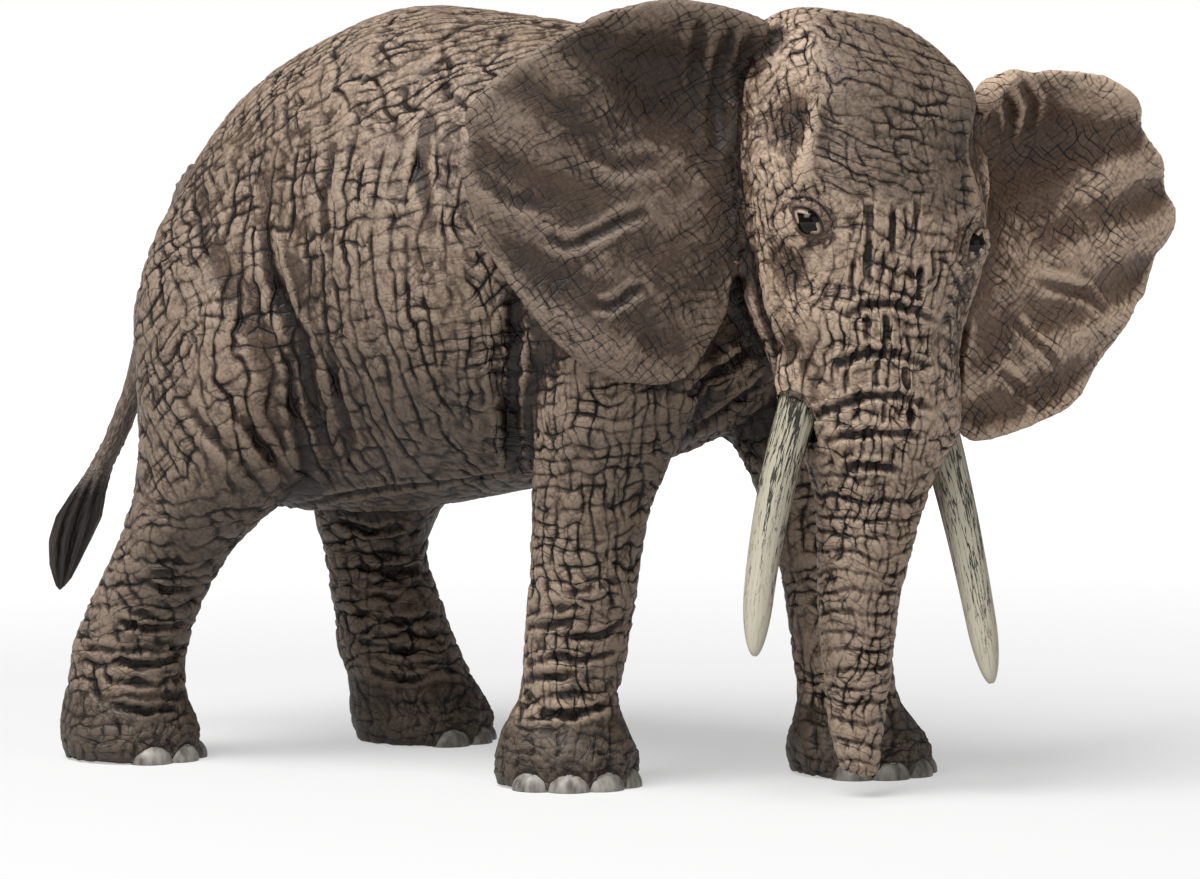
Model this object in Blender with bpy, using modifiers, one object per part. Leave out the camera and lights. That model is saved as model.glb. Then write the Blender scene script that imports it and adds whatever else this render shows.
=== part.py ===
# Toy elephant figure: a walking African cow elephant of painted soft PVC.
#
# The figure is moulded in pieces that plug together and are welded before painting. Four legs, the head
# with its trunk, two ears, two tusks and the tail each have a plug, a tongue or a root that seats in a
# socket of the piece that carries it.
# The skin is modelled as one form, so that it runs on across the seams, and is then cut into the pieces.
#
# The elephant faces -Y, its left side is +X and it stands on z = 0. Sizes are in metres. Places are given
# in the animal's own terms: how far ahead, how far to its left and how high.

import math

import bmesh
import bpy
import numpy as np
from mathutils import Matrix, Vector

for leftover in list(bpy.data.objects):
    bpy.data.objects.remove(leftover)

FIGURE = bpy.data.collections.new("toy_elephant")
CUTTERS = bpy.data.collections.new("cutters")
bpy.context.scene.collection.children.link(FIGURE)
bpy.context.scene.collection.children.link(CUTTERS)

MM = 0.001

# Torso: length from rump to chest, height from belly to back, width across the ribs
TORSO_LENGTH = 87.8 * MM
TORSO_HEIGHT = 63 * MM
TORSO_WIDTH = 54 * MM
BELLY_LEVEL = 29 * MM
RUMP_AHEAD = -47.8 * MM
BODY_RELIEF = 1.6 * MM

# Feet: where each sole stands, and how far its toes turn to the animal's right
FRONT_FOOT_WIDTH = 17.8 * MM
REAR_FOOT_WIDTH = 18 * MM
FRONT_LEG_HEIGHT = 62 * MM
REAR_LEG_HEIGHT = 70 * MM
RIGHT_FRONT_AHEAD = 17 * MM
RIGHT_FRONT_LEFT = -12.5 * MM
RIGHT_FRONT_TURN = 40.0
LEFT_FRONT_AHEAD = 42 * MM
LEFT_FRONT_LEFT = 14.8 * MM
LEFT_FRONT_TURN = 18.0
RIGHT_REAR_AHEAD = -42.2 * MM
RIGHT_REAR_LEFT = -16.9 * MM
RIGHT_REAR_TURN = 0.0
LEFT_REAR_AHEAD = -20.5 * MM
LEFT_REAR_LEFT = 16 * MM
LEFT_REAR_TURN = -5.0

# Toenails: ovals that stand a little proud of the foot's rim
FRONT_NAIL_TURNS = (-54.0, -18.0, 18.0, 54.0)
REAR_NAIL_TURNS = (-36.0, 0.0, 36.0)
NAIL_WIDTH = 5 * MM
NAIL_HEIGHT = 6 * MM
NAIL_THICKNESS = 4 * MM
NAIL_PROUD = 0.5 * MM
NAIL_LEVEL = 0.8 * MM

# Head: its middle is the point between the eyes, on the skull's axis
HEAD_AHEAD = 49 * MM
HEAD_LEFT = -1.5 * MM
HEAD_LEVEL = 65.5 * MM
HEAD_TURN = 43.0
HEAD_ROLL = -8.0
SKULL_WIDTH = 32 * MM
SKULL_DEPTH = 31 * MM
CROWN_RISE = 24.7 * MM
TRUNK_DROP = 62.5 * MM
NECK_WIDTH = 28 * MM
NECK_HEIGHT = 42 * MM
NECK_TAPER_SHARE = 0.28

EYE_WIDTH = 3.4 * MM
EYE_FORWARD = 11.6 * MM
EYE_APART = 20.8 * MM
EYE_LEAN = 0.6 * MM
EYE_RISE = -0.45 * MM
EYE_BALL_WIDTH = 2.6 * MM
EYE_BALL_HEIGHT = 1.9 * MM
EYE_FACING = 1.6
EYE_PROUD = 0.3 * MM

# Ears: reach from root to rim, height from top to bottom, how far each sweeps back from the head's side
RIGHT_EAR_REACH = 33 * MM
RIGHT_EAR_HEIGHT = 45 * MM
RIGHT_EAR_TOP_RISE = 24.2 * MM
RIGHT_EAR_SWEEP = 4.0
LEFT_EAR_REACH = 31.4 * MM
LEFT_EAR_HEIGHT = 46.5 * MM
LEFT_EAR_TOP_RISE = 23.6 * MM
LEFT_EAR_SWEEP = 18.0
EAR_THICKNESS = 2.6 * MM
EAR_RIM_SHARE = 0.55
EAR_ROOT_APART = 29 * MM
EAR_ROOT_FORWARD = 0.8 * MM
EAR_CUP = 6 * MM
RIGHT_EAR_HOLLOW = 3.4 * MM
LEFT_EAR_HOLLOW = 6 * MM
EAR_ROLL = 3.4 * MM
RIGHT_EAR_WAVE = 0.5 * MM
LEFT_EAR_WAVE = 1 * MM
RIGHT_EAR_BOW = 3 * MM
LEFT_EAR_BOW = 0.5 * MM

# Tusks: length shown, thickness where it leaves the lip, and the root inside the head
TUSK_LENGTH = 31 * MM
TUSK_WIDTH = 4.8 * MM
TUSK_ROOT_LENGTH = 6 * MM
TUSK_ROOT_APART = 16.4 * MM
TUSK_ROOT_FORWARD = 6.4 * MM
TUSK_ROOT_DROP = 20.5 * MM
TUSK_SPLAY = 6.3 * MM
TUSK_THRUST = 6 * MM
TUSK_ROOT_LEAN = -0.5 * MM
TUSK_TIP_LEAN = -1.4 * MM
TUSK_BOW = 1.6 * MM

# Tail: from the rump's socket to the end of the tuft
TAIL_AHEAD = -44 * MM
TAIL_LEVEL = 70 * MM
TAIL_DROP = 51 * MM
TAIL_SWING = 21 * MM
TAIL_WIDTH = 3.4 * MM
TUFT_WIDTH = 6 * MM
TAIL_ROOT_LENGTH = 4 * MM

# Where the seams run. A leg's block reaches in to its inner face, from its rear edge forward and from the
# groin up to the top of its arch
GROIN_LEVEL = 30 * MM
FRONT_INNER_FACE = 6.5 * MM
FRONT_ARCH_LENGTH = 26 * MM
FRONT_ARCH_TOP = 60 * MM
RIGHT_FRONT_ARCH_AHEAD = 12.5 * MM
REAR_INNER_FACE = 7.5 * MM
REAR_ARCH_LENGTH = 33 * MM
REAR_ARCH_TOP = 75 * MM
REAR_ARCH_AHEAD = -43.5 * MM
CROTCH_HALF = 1.5 * MM
NECK_SEAM_AHEAD = 35 * MM
NECK_SEAM_LEVEL = 62 * MM
NECK_SEAM_TURN = 22.0
NECK_SEAM_TILT = 10.0
LEFT_ARCH_BEHIND = 15 * MM
LEFT_FRONT_ARCH_AHEAD = NECK_SEAM_AHEAD - LEFT_ARCH_BEHIND

# Plugs and sockets
PLUG_WIDTH = 9 * MM
PLUG_DEPTH = 4.2 * MM
FRONT_PLUG_BEHIND = 8.5 * MM
FRONT_PLUG_LEVEL = 46 * MM
REAR_PLUG_AHEAD = REAR_ARCH_AHEAD + REAR_ARCH_LENGTH / 2
REAR_PLUG_LEVEL = 56 * MM
NECK_PLUG_WIDTH = 13 * MM
NECK_PLUG_RISE = 9 * MM
NECK_PLUG_DEPTH = 9 * MM
EAR_TONGUE_HEIGHT = 14 * MM
EAR_TONGUE_DEPTH = 3.4 * MM
EAR_TONGUE_LAP = 2.6 * MM
EAR_TONGUE_THICKNESS = 2.2 * MM
SEAM_GAP = 0.3 * MM
EAR_GAP = 0.4 * MM

# Distance from the animal's own middle to the middle of the box round the whole figure
CENTRE_AHEAD = 3.1 * MM
CENTRE_LEFT = 2 * MM

# Blending: the fineness of the modelling clay, and how many triangles the skin keeps
CLAY_VOXEL = 0.8 * MM
SMOOTH_COUNT = 14
SKIN_FACE_COUNT = 6200
EAR_VOXEL = 0.45 * MM
EAR_SMOOTH_COUNT = 3
EAR_FACE_COUNT = 900
WELD = 0.005 * MM

OVERRUN = 4 * MM
EASE_COUNT = 3
ARCH_COUNT = 2
RING_COUNT = 48
BALL_COUNT = 12
PLUG_COUNT = 20
SHARP_ANGLE = 50.0

# Paint: linear colour and roughness
SKIN_PAINT = (0.205, 0.152, 0.115), 0.55
TUSK_PAINT = (0.62, 0.56, 0.42), 0.4

UP = Vector((0, 0, 1))
AHEAD = Vector((0, -1, 0))
LEFT = Vector((1, 0, 0))

# Along the torso from rump to chest: share of its length, then top, bottom and half width as shares of
# its height and half width
TORSO_SHARES = [
    (0.000, 0.444, 0.302, 0.167),
    (0.017, 0.524, 0.238, 0.296),
    (0.043, 0.603, 0.175, 0.407),
    (0.087, 0.698, 0.103, 0.556),
    (0.140, 0.794, 0.051, 0.696),
    (0.208, 0.876, 0.016, 0.822),
    (0.300, 0.943, 0.003, 0.933),
    (0.419, 1.000, 0.022, 1.000),
    (0.567, 0.984, 0.063, 1.007),
    (0.681, 0.962, 0.095, 0.941),
    (0.795, 0.952, 0.132, 0.837),
    (0.897, 0.957, 0.190, 0.674),
    (0.966, 0.905, 0.270, 0.481),
    (1.000, 0.810, 0.381, 0.296),
]

# Hollows, below zero, and swellings on both sides of the body. Each has its place along the torso's length,
# out from the middle plane and up the torso's height, then its reach along and up as shares of that height
# and its depth as a share of the body's relief
BODY_RELIEF_SHARES = [
    (0.418, 0.98, 0.38, 0.13, 0.23, -1.0),
    (0.413, 0.82, 0.20, 0.14, 0.14, -1.0),
    (0.343, 0.91, 0.63, 0.10, 0.14, -0.55),
    (0.175, 0.83, 0.53, 0.13, 0.19, 0.35),
    (0.275, 0.95, 0.44, 0.13, 0.22, 0.45),
    (0.561, 0.99, 0.39, 0.14, 0.24, 0.45),
    (0.506, 0.98, 0.60, 0.12, 0.13, 0.3),
    (0.740, 0.88, 0.45, 0.045, 0.17, -0.8),
    (0.700, 0.68, 0.22, 0.045, 0.15, -0.8),
    (0.603, 0.91, 0.69, 0.06, 0.13, -0.3),
    (0.343, 0.92, 0.16, 0.07, 0.10, -0.5),
]

TORSO_WIDEST_SHARE = 0.45
TORSO_SQUARENESS = 2.1

# Round the arch of a leg's seam: share of its length ahead, share of the way from the groin to its top
FRONT_ARCH_SHARES = [
    (0.00, -0.10),
    (0.00, 0.33),
    (0.06, 0.60),
    (0.20, 0.85),
    (0.42, 1.00),
    (0.60, 0.99),
    (0.80, 0.84),
    (0.93, 0.60),
    (1.00, 0.33),
    (1.00, -0.10),
]
REAR_ARCH_SHARES = [
    (-0.45, -0.10),
    (-0.45, 0.36),
    (0.05, 0.50),
    (0.16, 0.75),
    (0.34, 0.95),
    (0.52, 1.00),
    (0.72, 0.93),
    (0.88, 0.72),
    (0.98, 0.42),
    (1.00, -0.10),
]

# How far the block below the groin reaches at least, ahead and behind the sole's middle, as a share of the
# foot's width
SOLE_REACH_SHARE = 0.66
MITRE_LIMIT_SHARE = 0.4

# Up each leg: share of its height, then how far its middle lies ahead of and beside the sole's middle, as
# shares of that height, then its half length and half width as shares of the foot's width
RIGHT_FRONT_SHARES = [
    (-0.040, 0.000, 0.000, 0.450, 0.450),
    (0.000, 0.000, 0.000, 0.470, 0.470),
    (0.024, 0.000, 0.000, 0.500, 0.500),
    (0.065, 0.000, 0.000, 0.490, 0.485),
    (0.113, -0.005, 0.000, 0.415, 0.410),
    (0.160, 0.003, 0.000, 0.340, 0.340),
    (0.210, 0.013, 0.000, 0.345, 0.345),
    (0.350, 0.035, -0.005, 0.370, 0.370),
    (0.450, 0.048, -0.010, 0.375, 0.380),
    (0.540, 0.062, -0.015, 0.420, 0.410),
    (0.620, 0.085, -0.025, 0.490, 0.440),
    (0.700, 0.115, -0.035, 0.560, 0.480),
    (0.800, 0.140, -0.036, 0.600, 0.470),
    (0.920, 0.150, -0.020, 0.570, 0.420),
    (1.060, 0.150, 0.030, 0.480, 0.330),
    (1.200, 0.150, 0.100, 0.340, 0.220),
]
LEFT_FRONT_SHARES = [
    (-0.040, 0.000, 0.000, 0.450, 0.450),
    (0.000, 0.000, 0.000, 0.480, 0.480),
    (0.020, 0.000, 0.000, 0.520, 0.515),
    (0.062, -0.010, 0.000, 0.500, 0.500),
    (0.105, -0.020, 0.000, 0.410, 0.410),
    (0.145, -0.032, 0.000, 0.350, 0.350),
    (0.235, -0.045, 0.000, 0.345, 0.345),
    (0.330, -0.053, -0.005, 0.360, 0.360),
    (0.410, -0.065, -0.010, 0.370, 0.370),
    (0.490, -0.078, -0.015, 0.390, 0.385),
    (0.580, -0.105, -0.020, 0.440, 0.420),
    (0.680, -0.145, -0.020, 0.520, 0.460),
    (0.800, -0.190, -0.010, 0.590, 0.470),
    (0.920, -0.215, -0.020, 0.570, 0.420),
    (1.060, -0.225, -0.060, 0.480, 0.330),
    (1.200, -0.225, -0.130, 0.340, 0.220),
]
RIGHT_REAR_SHARES = [
    (-0.040, 0.000, 0.000, 0.440, 0.430),
    (0.000, 0.000, 0.000, 0.470, 0.450),
    (0.029, 0.000, 0.000, 0.505, 0.480),
    (0.057, -0.005, 0.000, 0.495, 0.470),
    (0.100, -0.013, 0.000, 0.445, 0.420),
    (0.145, -0.010, 0.000, 0.410, 0.400),
    (0.190, -0.005, 0.000, 0.410, 0.400),
    (0.235, 0.012, 0.000, 0.405, 0.400),
    (0.280, 0.033, 0.000, 0.400, 0.400),
    (0.325, 0.065, -0.003, 0.395, 0.400),
    (0.370, 0.095, -0.006, 0.410, 0.410),
    (0.415, 0.135, -0.010, 0.480, 0.430),
    (0.460, 0.172, -0.014, 0.550, 0.450),
    (0.510, 0.205, -0.018, 0.630, 0.480),
    (0.580, 0.235, -0.022, 0.720, 0.500),
    (0.670, 0.250, -0.022, 0.790, 0.510),
    (0.780, 0.240, -0.010, 0.800, 0.500),
    (0.880, 0.225, 0.015, 0.700, 0.440),
    (0.980, 0.215, 0.050, 0.540, 0.340),
    (1.080, 0.210, 0.110, 0.360, 0.220),
]
LEFT_REAR_SHARES = [
    (-0.040, 0.000, 0.000, 0.440, 0.430),
    (0.000, 0.000, 0.000, 0.470, 0.450),
    (0.025, 0.000, 0.000, 0.530, 0.500),
    (0.070, -0.012, 0.000, 0.500, 0.480),
    (0.115, -0.030, 0.000, 0.445, 0.440),
    (0.160, -0.055, 0.000, 0.445, 0.430),
    (0.205, -0.068, 0.000, 0.415, 0.410),
    (0.250, -0.080, 0.000, 0.400, 0.400),
    (0.295, -0.097, 0.000, 0.375, 0.385),
    (0.340, -0.105, 0.000, 0.370, 0.380),
    (0.385, -0.108, 0.004, 0.425, 0.410),
    (0.430, -0.100, 0.010, 0.510, 0.440),
    (0.500, -0.085, 0.020, 0.620, 0.480),
    (0.580, -0.075, 0.030, 0.720, 0.500),
    (0.670, -0.070, 0.035, 0.790, 0.510),
    (0.780, -0.080, 0.020, 0.800, 0.500),
    (0.880, -0.095, -0.005, 0.700, 0.440),
    (0.980, -0.105, -0.040, 0.540, 0.340),
    (1.080, -0.110, -0.100, 0.360, 0.220),
]

LEG_UNTURNED_SHARE = 0.3

# Down the head from crown to trunk tip. The first column is a share of the crown's rise, then of the
# trunk's drop. Then the slice's middle ahead, its lean to the left, its front, its back and its half
# width, as shares of the skull's depth and width
SKULL_SHARES = [
    (1.000, -0.060, -0.120, 0.110, 0.150, 0.150),
    (0.960, -0.055, -0.118, 0.200, 0.220, 0.250),
    (0.820, -0.045, -0.097, 0.340, 0.350, 0.380),
    (0.600, -0.030, -0.068, 0.435, 0.430, 0.440),
    (0.230, -0.010, -0.020, 0.490, 0.470, 0.474),
    (0.020, 0.000, 0.000, 0.480, 0.430, 0.475),
]
MUZZLE_SHARES = [
    (0.060, 0.010, 0.000, 0.470, 0.390, 0.460),
    (0.125, 0.025, -0.015, 0.450, 0.340, 0.425),
    (0.185, 0.040, -0.025, 0.435, 0.310, 0.385),
    (0.240, 0.055, 0.000, 0.425, 0.290, 0.355),
    (0.350, 0.110, 0.030, 0.360, 0.260, 0.325),
    (0.425, 0.150, 0.010, 0.280, 0.240, 0.255),
    (0.510, 0.170, 0.000, 0.210, 0.205, 0.200),
    (0.620, 0.160, -0.024, 0.175, 0.170, 0.170),
    (0.720, 0.150, -0.034, 0.150, 0.148, 0.149),
    (0.820, 0.140, -0.034, 0.132, 0.130, 0.132),
    (0.900, 0.145, -0.034, 0.112, 0.112, 0.114),
    (0.960, 0.160, -0.037, 0.098, 0.098, 0.100),
    (1.000, 0.172, -0.033, 0.082, 0.082, 0.084),
    (1.020, 0.176, -0.032, 0.052, 0.052, 0.054),
]

SKULL_SQUARENESS = 2.2
MUZZLE_SQUARENESS = 2.1

# The neck's ends: on the torso as shares of its length and height, in the head as shares of the skull's
# depth and the crown's rise
NECK_START_SHARES = (0.84, 0.60)
NECK_END_SHARES = (-0.16, 0.12)
NECK_RING_COUNT = 5

# Swellings that run into the skull. Each has its place, then its half sizes to the side, ahead and up. The
# brow's are shares of the eye's width. The temple's and the jaw's are shares of the skull's width and
# depth and of what they hang from. The lip's are shares of the tusk's width
BROW_PLACE_SHARES = (-1.1, -0.2)
BROW_SHARES = (1.1, 1.4, 1.3)
TEMPLE_PLACE_SHARES = (-0.16, 0.22, 0.4)
TEMPLE_SHARES = (0.235, 0.26, 0.42)
JAW_PLACE_SHARES = (-0.02, -0.95)
JAW_SHARES = (0.2, 0.24, 1.2)
LIP_BACK_SHARE = 0.75
LIP_SHARES = (0.8, 0.85, 1.45)

# Along each tusk from the lip, and how it narrows: to its tip, and within the blunt end
TUSK_SHARES = (0.12, 0.25, 0.4, 0.55, 0.7, 0.82, 0.9, 0.95, 0.98, 1.0)
TUSK_TAPER_SHARE = 0.36
TUSK_BLUNT_SHARE = 0.9
TUSK_ROUND_SHARE = 0.95
TUSK_COUNT = 12

# Round each ear's rim from the top of its root to the bottom: share of its reach, and share of its height
# measured down from the top
RIGHT_EAR_SHARES = [
    (0.00, 0.060),
    (0.07, 0.045),
    (0.16, 0.032),
    (0.28, 0.025),
    (0.42, 0.040),
    (0.57, 0.085),
    (0.71, 0.155),
    (0.85, 0.245),
    (0.95, 0.325),
    (1.00, 0.395),
    (0.96, 0.460),
    (1.00, 0.490),
    (0.98, 0.555),
    (0.92, 0.650),
    (0.85, 0.740),
    (0.78, 0.805),
    (0.69, 0.875),
    (0.57, 0.950),
    (0.43, 0.995),
    (0.29, 1.010),
    (0.18, 1.000),
    (0.09, 0.950),
    (0.00, 0.815),
]
LEFT_EAR_SHARES = [
    (0.00, 0.070),
    (0.09, 0.062),
    (0.20, 0.046),
    (0.33, 0.034),
    (0.46, 0.034),
    (0.59, 0.066),
    (0.72, 0.115),
    (0.86, 0.210),
    (0.94, 0.270),
    (1.00, 0.345),
    (0.97, 0.430),
    (0.93, 0.460),
    (0.95, 0.480),
    (0.89, 0.571),
    (0.84, 0.600),
    (0.77, 0.690),
    (0.67, 0.800),
    (0.55, 0.878),
    (0.44, 0.915),
    (0.33, 0.947),
    (0.17, 0.985),
    (0.06, 0.990),
    (0.00, 0.900),
]
EAR_ROOT_TOP_SHARE = 0.09
EAR_ROOT_BOTTOM_SHARE = 0.74
EAR_RING_COUNT = 14

# Relief of the ear's sheet. The hollow and the rolled top: where across and down the ear, and how wide.
# Then how the top roll fades outward, and how much the sheet bends down its height, across, and about where
EAR_HOLLOW_SHARES = (0.16, 0.30, 0.27, 0.17)
EAR_ROLL_SHARES = (0.05, 0.08, 0.4)
EAR_BEND_SHARES = (0.55, 0.3, 0.5)
EAR_WAVES_DOWN = 5
EAR_WAVES_OUT = 1.4

# Down the tail: share of its drop, share of its swing, half width as a share of the tail's width
TAIL_SHARES = [
    (0.00, 0.00, 0.62),
    (0.12, 0.14, 0.58),
    (0.29, 0.285, 0.52),
    (0.49, 0.43, 0.49),
    (0.63, 0.595, 0.46),
    (0.70, 0.70, 0.48),
]
# Down the tuft: the same, with the half width as a share of the tuft's width
TUFT_SHARES = [
    (0.77, 0.80, 0.38),
    (0.83, 0.87, 0.50),
    (0.89, 0.935, 0.46),
    (0.95, 0.98, 0.32),
    (1.00, 1.00, 0.12),
]
TAIL_CLIMB_SHARE = 0.5
TUFT_LOCK_COUNT = 7
LOCK_DEPTH_SHARE = 0.16

FRONT = {
    "height": FRONT_LEG_HEIGHT,
    "foot": FRONT_FOOT_WIDTH,
    "nails": FRONT_NAIL_TURNS,
    "arch": FRONT_ARCH_SHARES,
    "arch_length": FRONT_ARCH_LENGTH,
    "arch_top": FRONT_ARCH_TOP,
    "inner": FRONT_INNER_FACE,
    "plug": (NECK_SEAM_AHEAD - FRONT_PLUG_BEHIND, FRONT_PLUG_LEVEL),
}
REAR = {
    "height": REAR_LEG_HEIGHT,
    "foot": REAR_FOOT_WIDTH,
    "nails": REAR_NAIL_TURNS,
    "arch": REAR_ARCH_SHARES,
    "arch_length": REAR_ARCH_LENGTH,
    "arch_top": REAR_ARCH_TOP,
    "inner": REAR_INNER_FACE,
    "plug": (REAR_PLUG_AHEAD, REAR_PLUG_LEVEL),
}
# Each leg: its side, its outline, where its sole stands and turns, its seam's rear edge and how far from the
# middle plane its block starts
LEGS = {
    "leg_front_right": {
        **FRONT,
        "side": -1,
        "shares": RIGHT_FRONT_SHARES,
        "sole": (RIGHT_FRONT_AHEAD, RIGHT_FRONT_LEFT),
        "turn": RIGHT_FRONT_TURN,
        "seam_ahead": RIGHT_FRONT_ARCH_AHEAD,
        "crotch": 0,
    },
    "leg_front_left": {
        **FRONT,
        "side": 1,
        "shares": LEFT_FRONT_SHARES,
        "sole": (LEFT_FRONT_AHEAD, LEFT_FRONT_LEFT),
        "turn": LEFT_FRONT_TURN,
        "seam_ahead": LEFT_FRONT_ARCH_AHEAD,
        "crotch": CROTCH_HALF,
    },
    "leg_rear_right": {
        **REAR,
        "side": -1,
        "shares": RIGHT_REAR_SHARES,
        "sole": (RIGHT_REAR_AHEAD, RIGHT_REAR_LEFT),
        "turn": RIGHT_REAR_TURN,
        "seam_ahead": REAR_ARCH_AHEAD,
        "crotch": 0,
    },
    "leg_rear_left": {
        **REAR,
        "side": 1,
        "shares": LEFT_REAR_SHARES,
        "sole": (LEFT_REAR_AHEAD, LEFT_REAR_LEFT),
        "turn": LEFT_REAR_TURN,
        "seam_ahead": REAR_ARCH_AHEAD,
        "crotch": 0,
    },
}


def spot(ahead, left, up):
    """A point in the animal's own terms, from its middle on the ground."""
    return Vector((left - CENTRE_LEFT, CENTRE_AHEAD - ahead, up))


def turned(direction, degrees, axis=UP):
    return Matrix.Rotation(math.radians(degrees), 3, axis) @ direction


# The head's own directions, after its turn to the right and its roll to the left
HEAD_FORWARD = turned(AHEAD, -HEAD_TURN)
HEAD_SIDE = turned(turned(LEFT, -HEAD_TURN), HEAD_ROLL, HEAD_FORWARD)
HEAD_UP = turned(UP, HEAD_ROLL, HEAD_FORWARD)


def head_spot(forward, side, rise):
    """A point measured from the middle of the head, along the head's own directions."""
    middle = spot(HEAD_AHEAD, HEAD_LEFT, HEAD_LEVEL)
    return middle + HEAD_FORWARD * forward + HEAD_SIDE * side + HEAD_UP * rise


def eased(rows, steps=EASE_COUNT):
    """The rows of a table with smooth steps put in between them."""
    made = []
    for k in range(len(rows) - 1):
        before, first, second = rows[max(k - 1, 0)], rows[k], rows[k + 1]
        after = rows[min(k + 2, len(rows) - 1)]
        for step in range(steps):
            t = step / steps
            row = []
            for a, b, c, d in zip(before, first, second, after):
                bend = (2 * a - 5 * b + 4 * c - d) * t**2 + (3 * b - a - 3 * c + d) * t**3
                row.append((2 * b + (c - a) * t + bend) / 2)
            made.append(row)
    return made + [rows[-1]]


def oval(middle, side, top, half_side, half_top, half_bottom, power=2.0, points=RING_COUNT):
    """A ring of points, rounder below power 2 and squarer above it, with unlike top and bottom halves."""
    ring = []
    for k in range(points):
        angle = math.tau * k / points
        across, along = math.cos(angle), math.sin(angle)
        reach = half_top if along > 0 else half_bottom
        x = math.copysign(abs(across) ** (2 / power), across) * half_side
        y = math.copysign(abs(along) ** (2 / power), along) * reach
        ring.append(middle + side * x + top * y)
    return ring


def loft(rings):
    """A closed mesh through rings of equal count, with flat ends."""
    mesh = bmesh.new()
    rows = [[mesh.verts.new(point) for point in ring] for ring in rings]
    count = len(rings[0])
    for lower, upper in zip(rows, rows[1:]):
        for k in range(count):
            after = (k + 1) % count
            mesh.faces.new((lower[k], lower[after], upper[after], upper[k]))
    mesh.faces.new(reversed(rows[0]))
    mesh.faces.new(rows[-1])
    bmesh.ops.recalc_face_normals(mesh, faces=mesh.faces)
    return mesh


def ball(middle, side, forward, up, half_side, half_forward, half_up):
    """An ellipsoid along three directions."""
    mesh = bmesh.new()
    bmesh.ops.create_uvsphere(mesh, u_segments=BALL_COUNT, v_segments=BALL_COUNT // 2, radius=1)
    columns = (side * half_side, forward * half_forward, up * half_up)
    shape = Matrix(columns).transposed().to_4x4()
    shape.translation = middle
    bmesh.ops.transform(mesh, matrix=shape, verts=mesh.verts)
    bmesh.ops.recalc_face_normals(mesh, faces=mesh.faces)
    return mesh


def rod(start, end, width):
    """A straight round plug between two points."""
    axis = end - start
    mesh = bmesh.new()
    bmesh.ops.create_cone(
        mesh, cap_ends=True, segments=PLUG_COUNT, radius1=width / 2, radius2=width / 2, depth=axis.length
    )
    place = axis.to_track_quat("Z", "Y").to_matrix().to_4x4()
    place.translation = (start + end) / 2
    bmesh.ops.transform(mesh, matrix=place, verts=mesh.verts)
    return mesh


def block(middle, side, forward, up, width, depth, height):
    """A box along three directions."""
    mesh = bmesh.new()
    bmesh.ops.create_cube(mesh, size=1)
    shape = Matrix((side * width, forward * depth, up * height)).transposed().to_4x4()
    shape.translation = middle
    bmesh.ops.transform(mesh, matrix=shape, verts=mesh.verts)
    bmesh.ops.recalc_face_normals(mesh, faces=mesh.faces)
    return mesh


def put(name, forms, folder):
    """One object from one or more loose forms."""
    whole = bpy.data.meshes.new(name)
    joined = bmesh.new()
    for form in forms:
        piece = bpy.data.meshes.new("form")
        form.to_mesh(piece)
        form.free()
        joined.from_mesh(piece)
        bpy.data.meshes.remove(piece)
    joined.to_mesh(whole)
    joined.free()
    made = bpy.data.objects.new(name, whole)
    folder.objects.link(made)
    if folder is CUTTERS:
        made.hide_render = True
        made.display_type = "WIRE"
    return made


def settle(piece):
    """Replaces the piece's modifiers by their result."""
    bpy.context.view_layer.update()
    graph = bpy.context.evaluated_depsgraph_get()
    shape = bpy.data.meshes.new_from_object(piece.evaluated_get(graph))
    piece.modifiers.clear()
    old = piece.data
    piece.data = shape
    shape.name = piece.name
    bpy.data.meshes.remove(old)
    return piece


def melt(piece, voxel, smooth):
    """Runs overlapping forms together into one skin and smooths the joins."""
    clay = piece.modifiers.new("clay", "REMESH")
    clay.mode = "VOXEL"
    clay.voxel_size = voxel
    soften = piece.modifiers.new("soften", "SMOOTH")
    soften.factor = 0.5
    soften.iterations = smooth
    return settle(piece)


def thin(piece, faces):
    """Keeps about so many triangles."""
    triangles = sum(len(face.vertices) - 2 for face in piece.data.polygons)
    fewer = piece.modifiers.new("fewer", "DECIMATE")
    fewer.ratio = min(1, faces / triangles)
    return settle(piece)


def boolean(piece, other, operation):
    change = piece.modifiers.new(operation.lower(), "BOOLEAN")
    change.operation = operation
    change.solver = "EXACT"
    change.object = other
    return settle(piece)


def grown(piece, amount, name):
    """A cutter of the piece's shape, larger all round by the amount."""
    cutter = bpy.data.objects.new(name, piece.data.copy())
    CUTTERS.objects.link(cutter)
    cutter.hide_render = True
    cutter.display_type = "WIRE"
    swell = cutter.modifiers.new("swell", "DISPLACE")
    swell.direction = "NORMAL"
    swell.mid_level = 0
    swell.strength = amount
    return settle(cutter)


def cut_from(name, whole, region):
    """The part of a whole that lies inside a region."""
    piece = bpy.data.objects.new(name, whole.data.copy())
    FIGURE.objects.link(piece)
    boolean(piece, region, "INTERSECT")
    return piece


def trim(piece):
    """Keeps the largest body after a cut."""
    shape = bmesh.new()
    shape.from_mesh(piece.data)
    bmesh.ops.remove_doubles(shape, verts=shape.verts, dist=WELD)
    left, bodies = set(shape.verts), []
    while left:
        start = left.pop()
        body, front = {start}, [start]
        while front:
            vert = front.pop()
            for link in vert.link_edges:
                other = link.other_vert(vert)
                if other in left:
                    left.remove(other)
                    body.add(other)
                    front.append(other)
        bodies.append(body)
    best = max(bodies, key=len)
    crumbs = [vert for body in bodies if body is not best for vert in body]
    bmesh.ops.delete(shape, geom=crumbs, context="VERTS")
    shape.to_mesh(piece.data)
    shape.free()
    return piece


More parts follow.
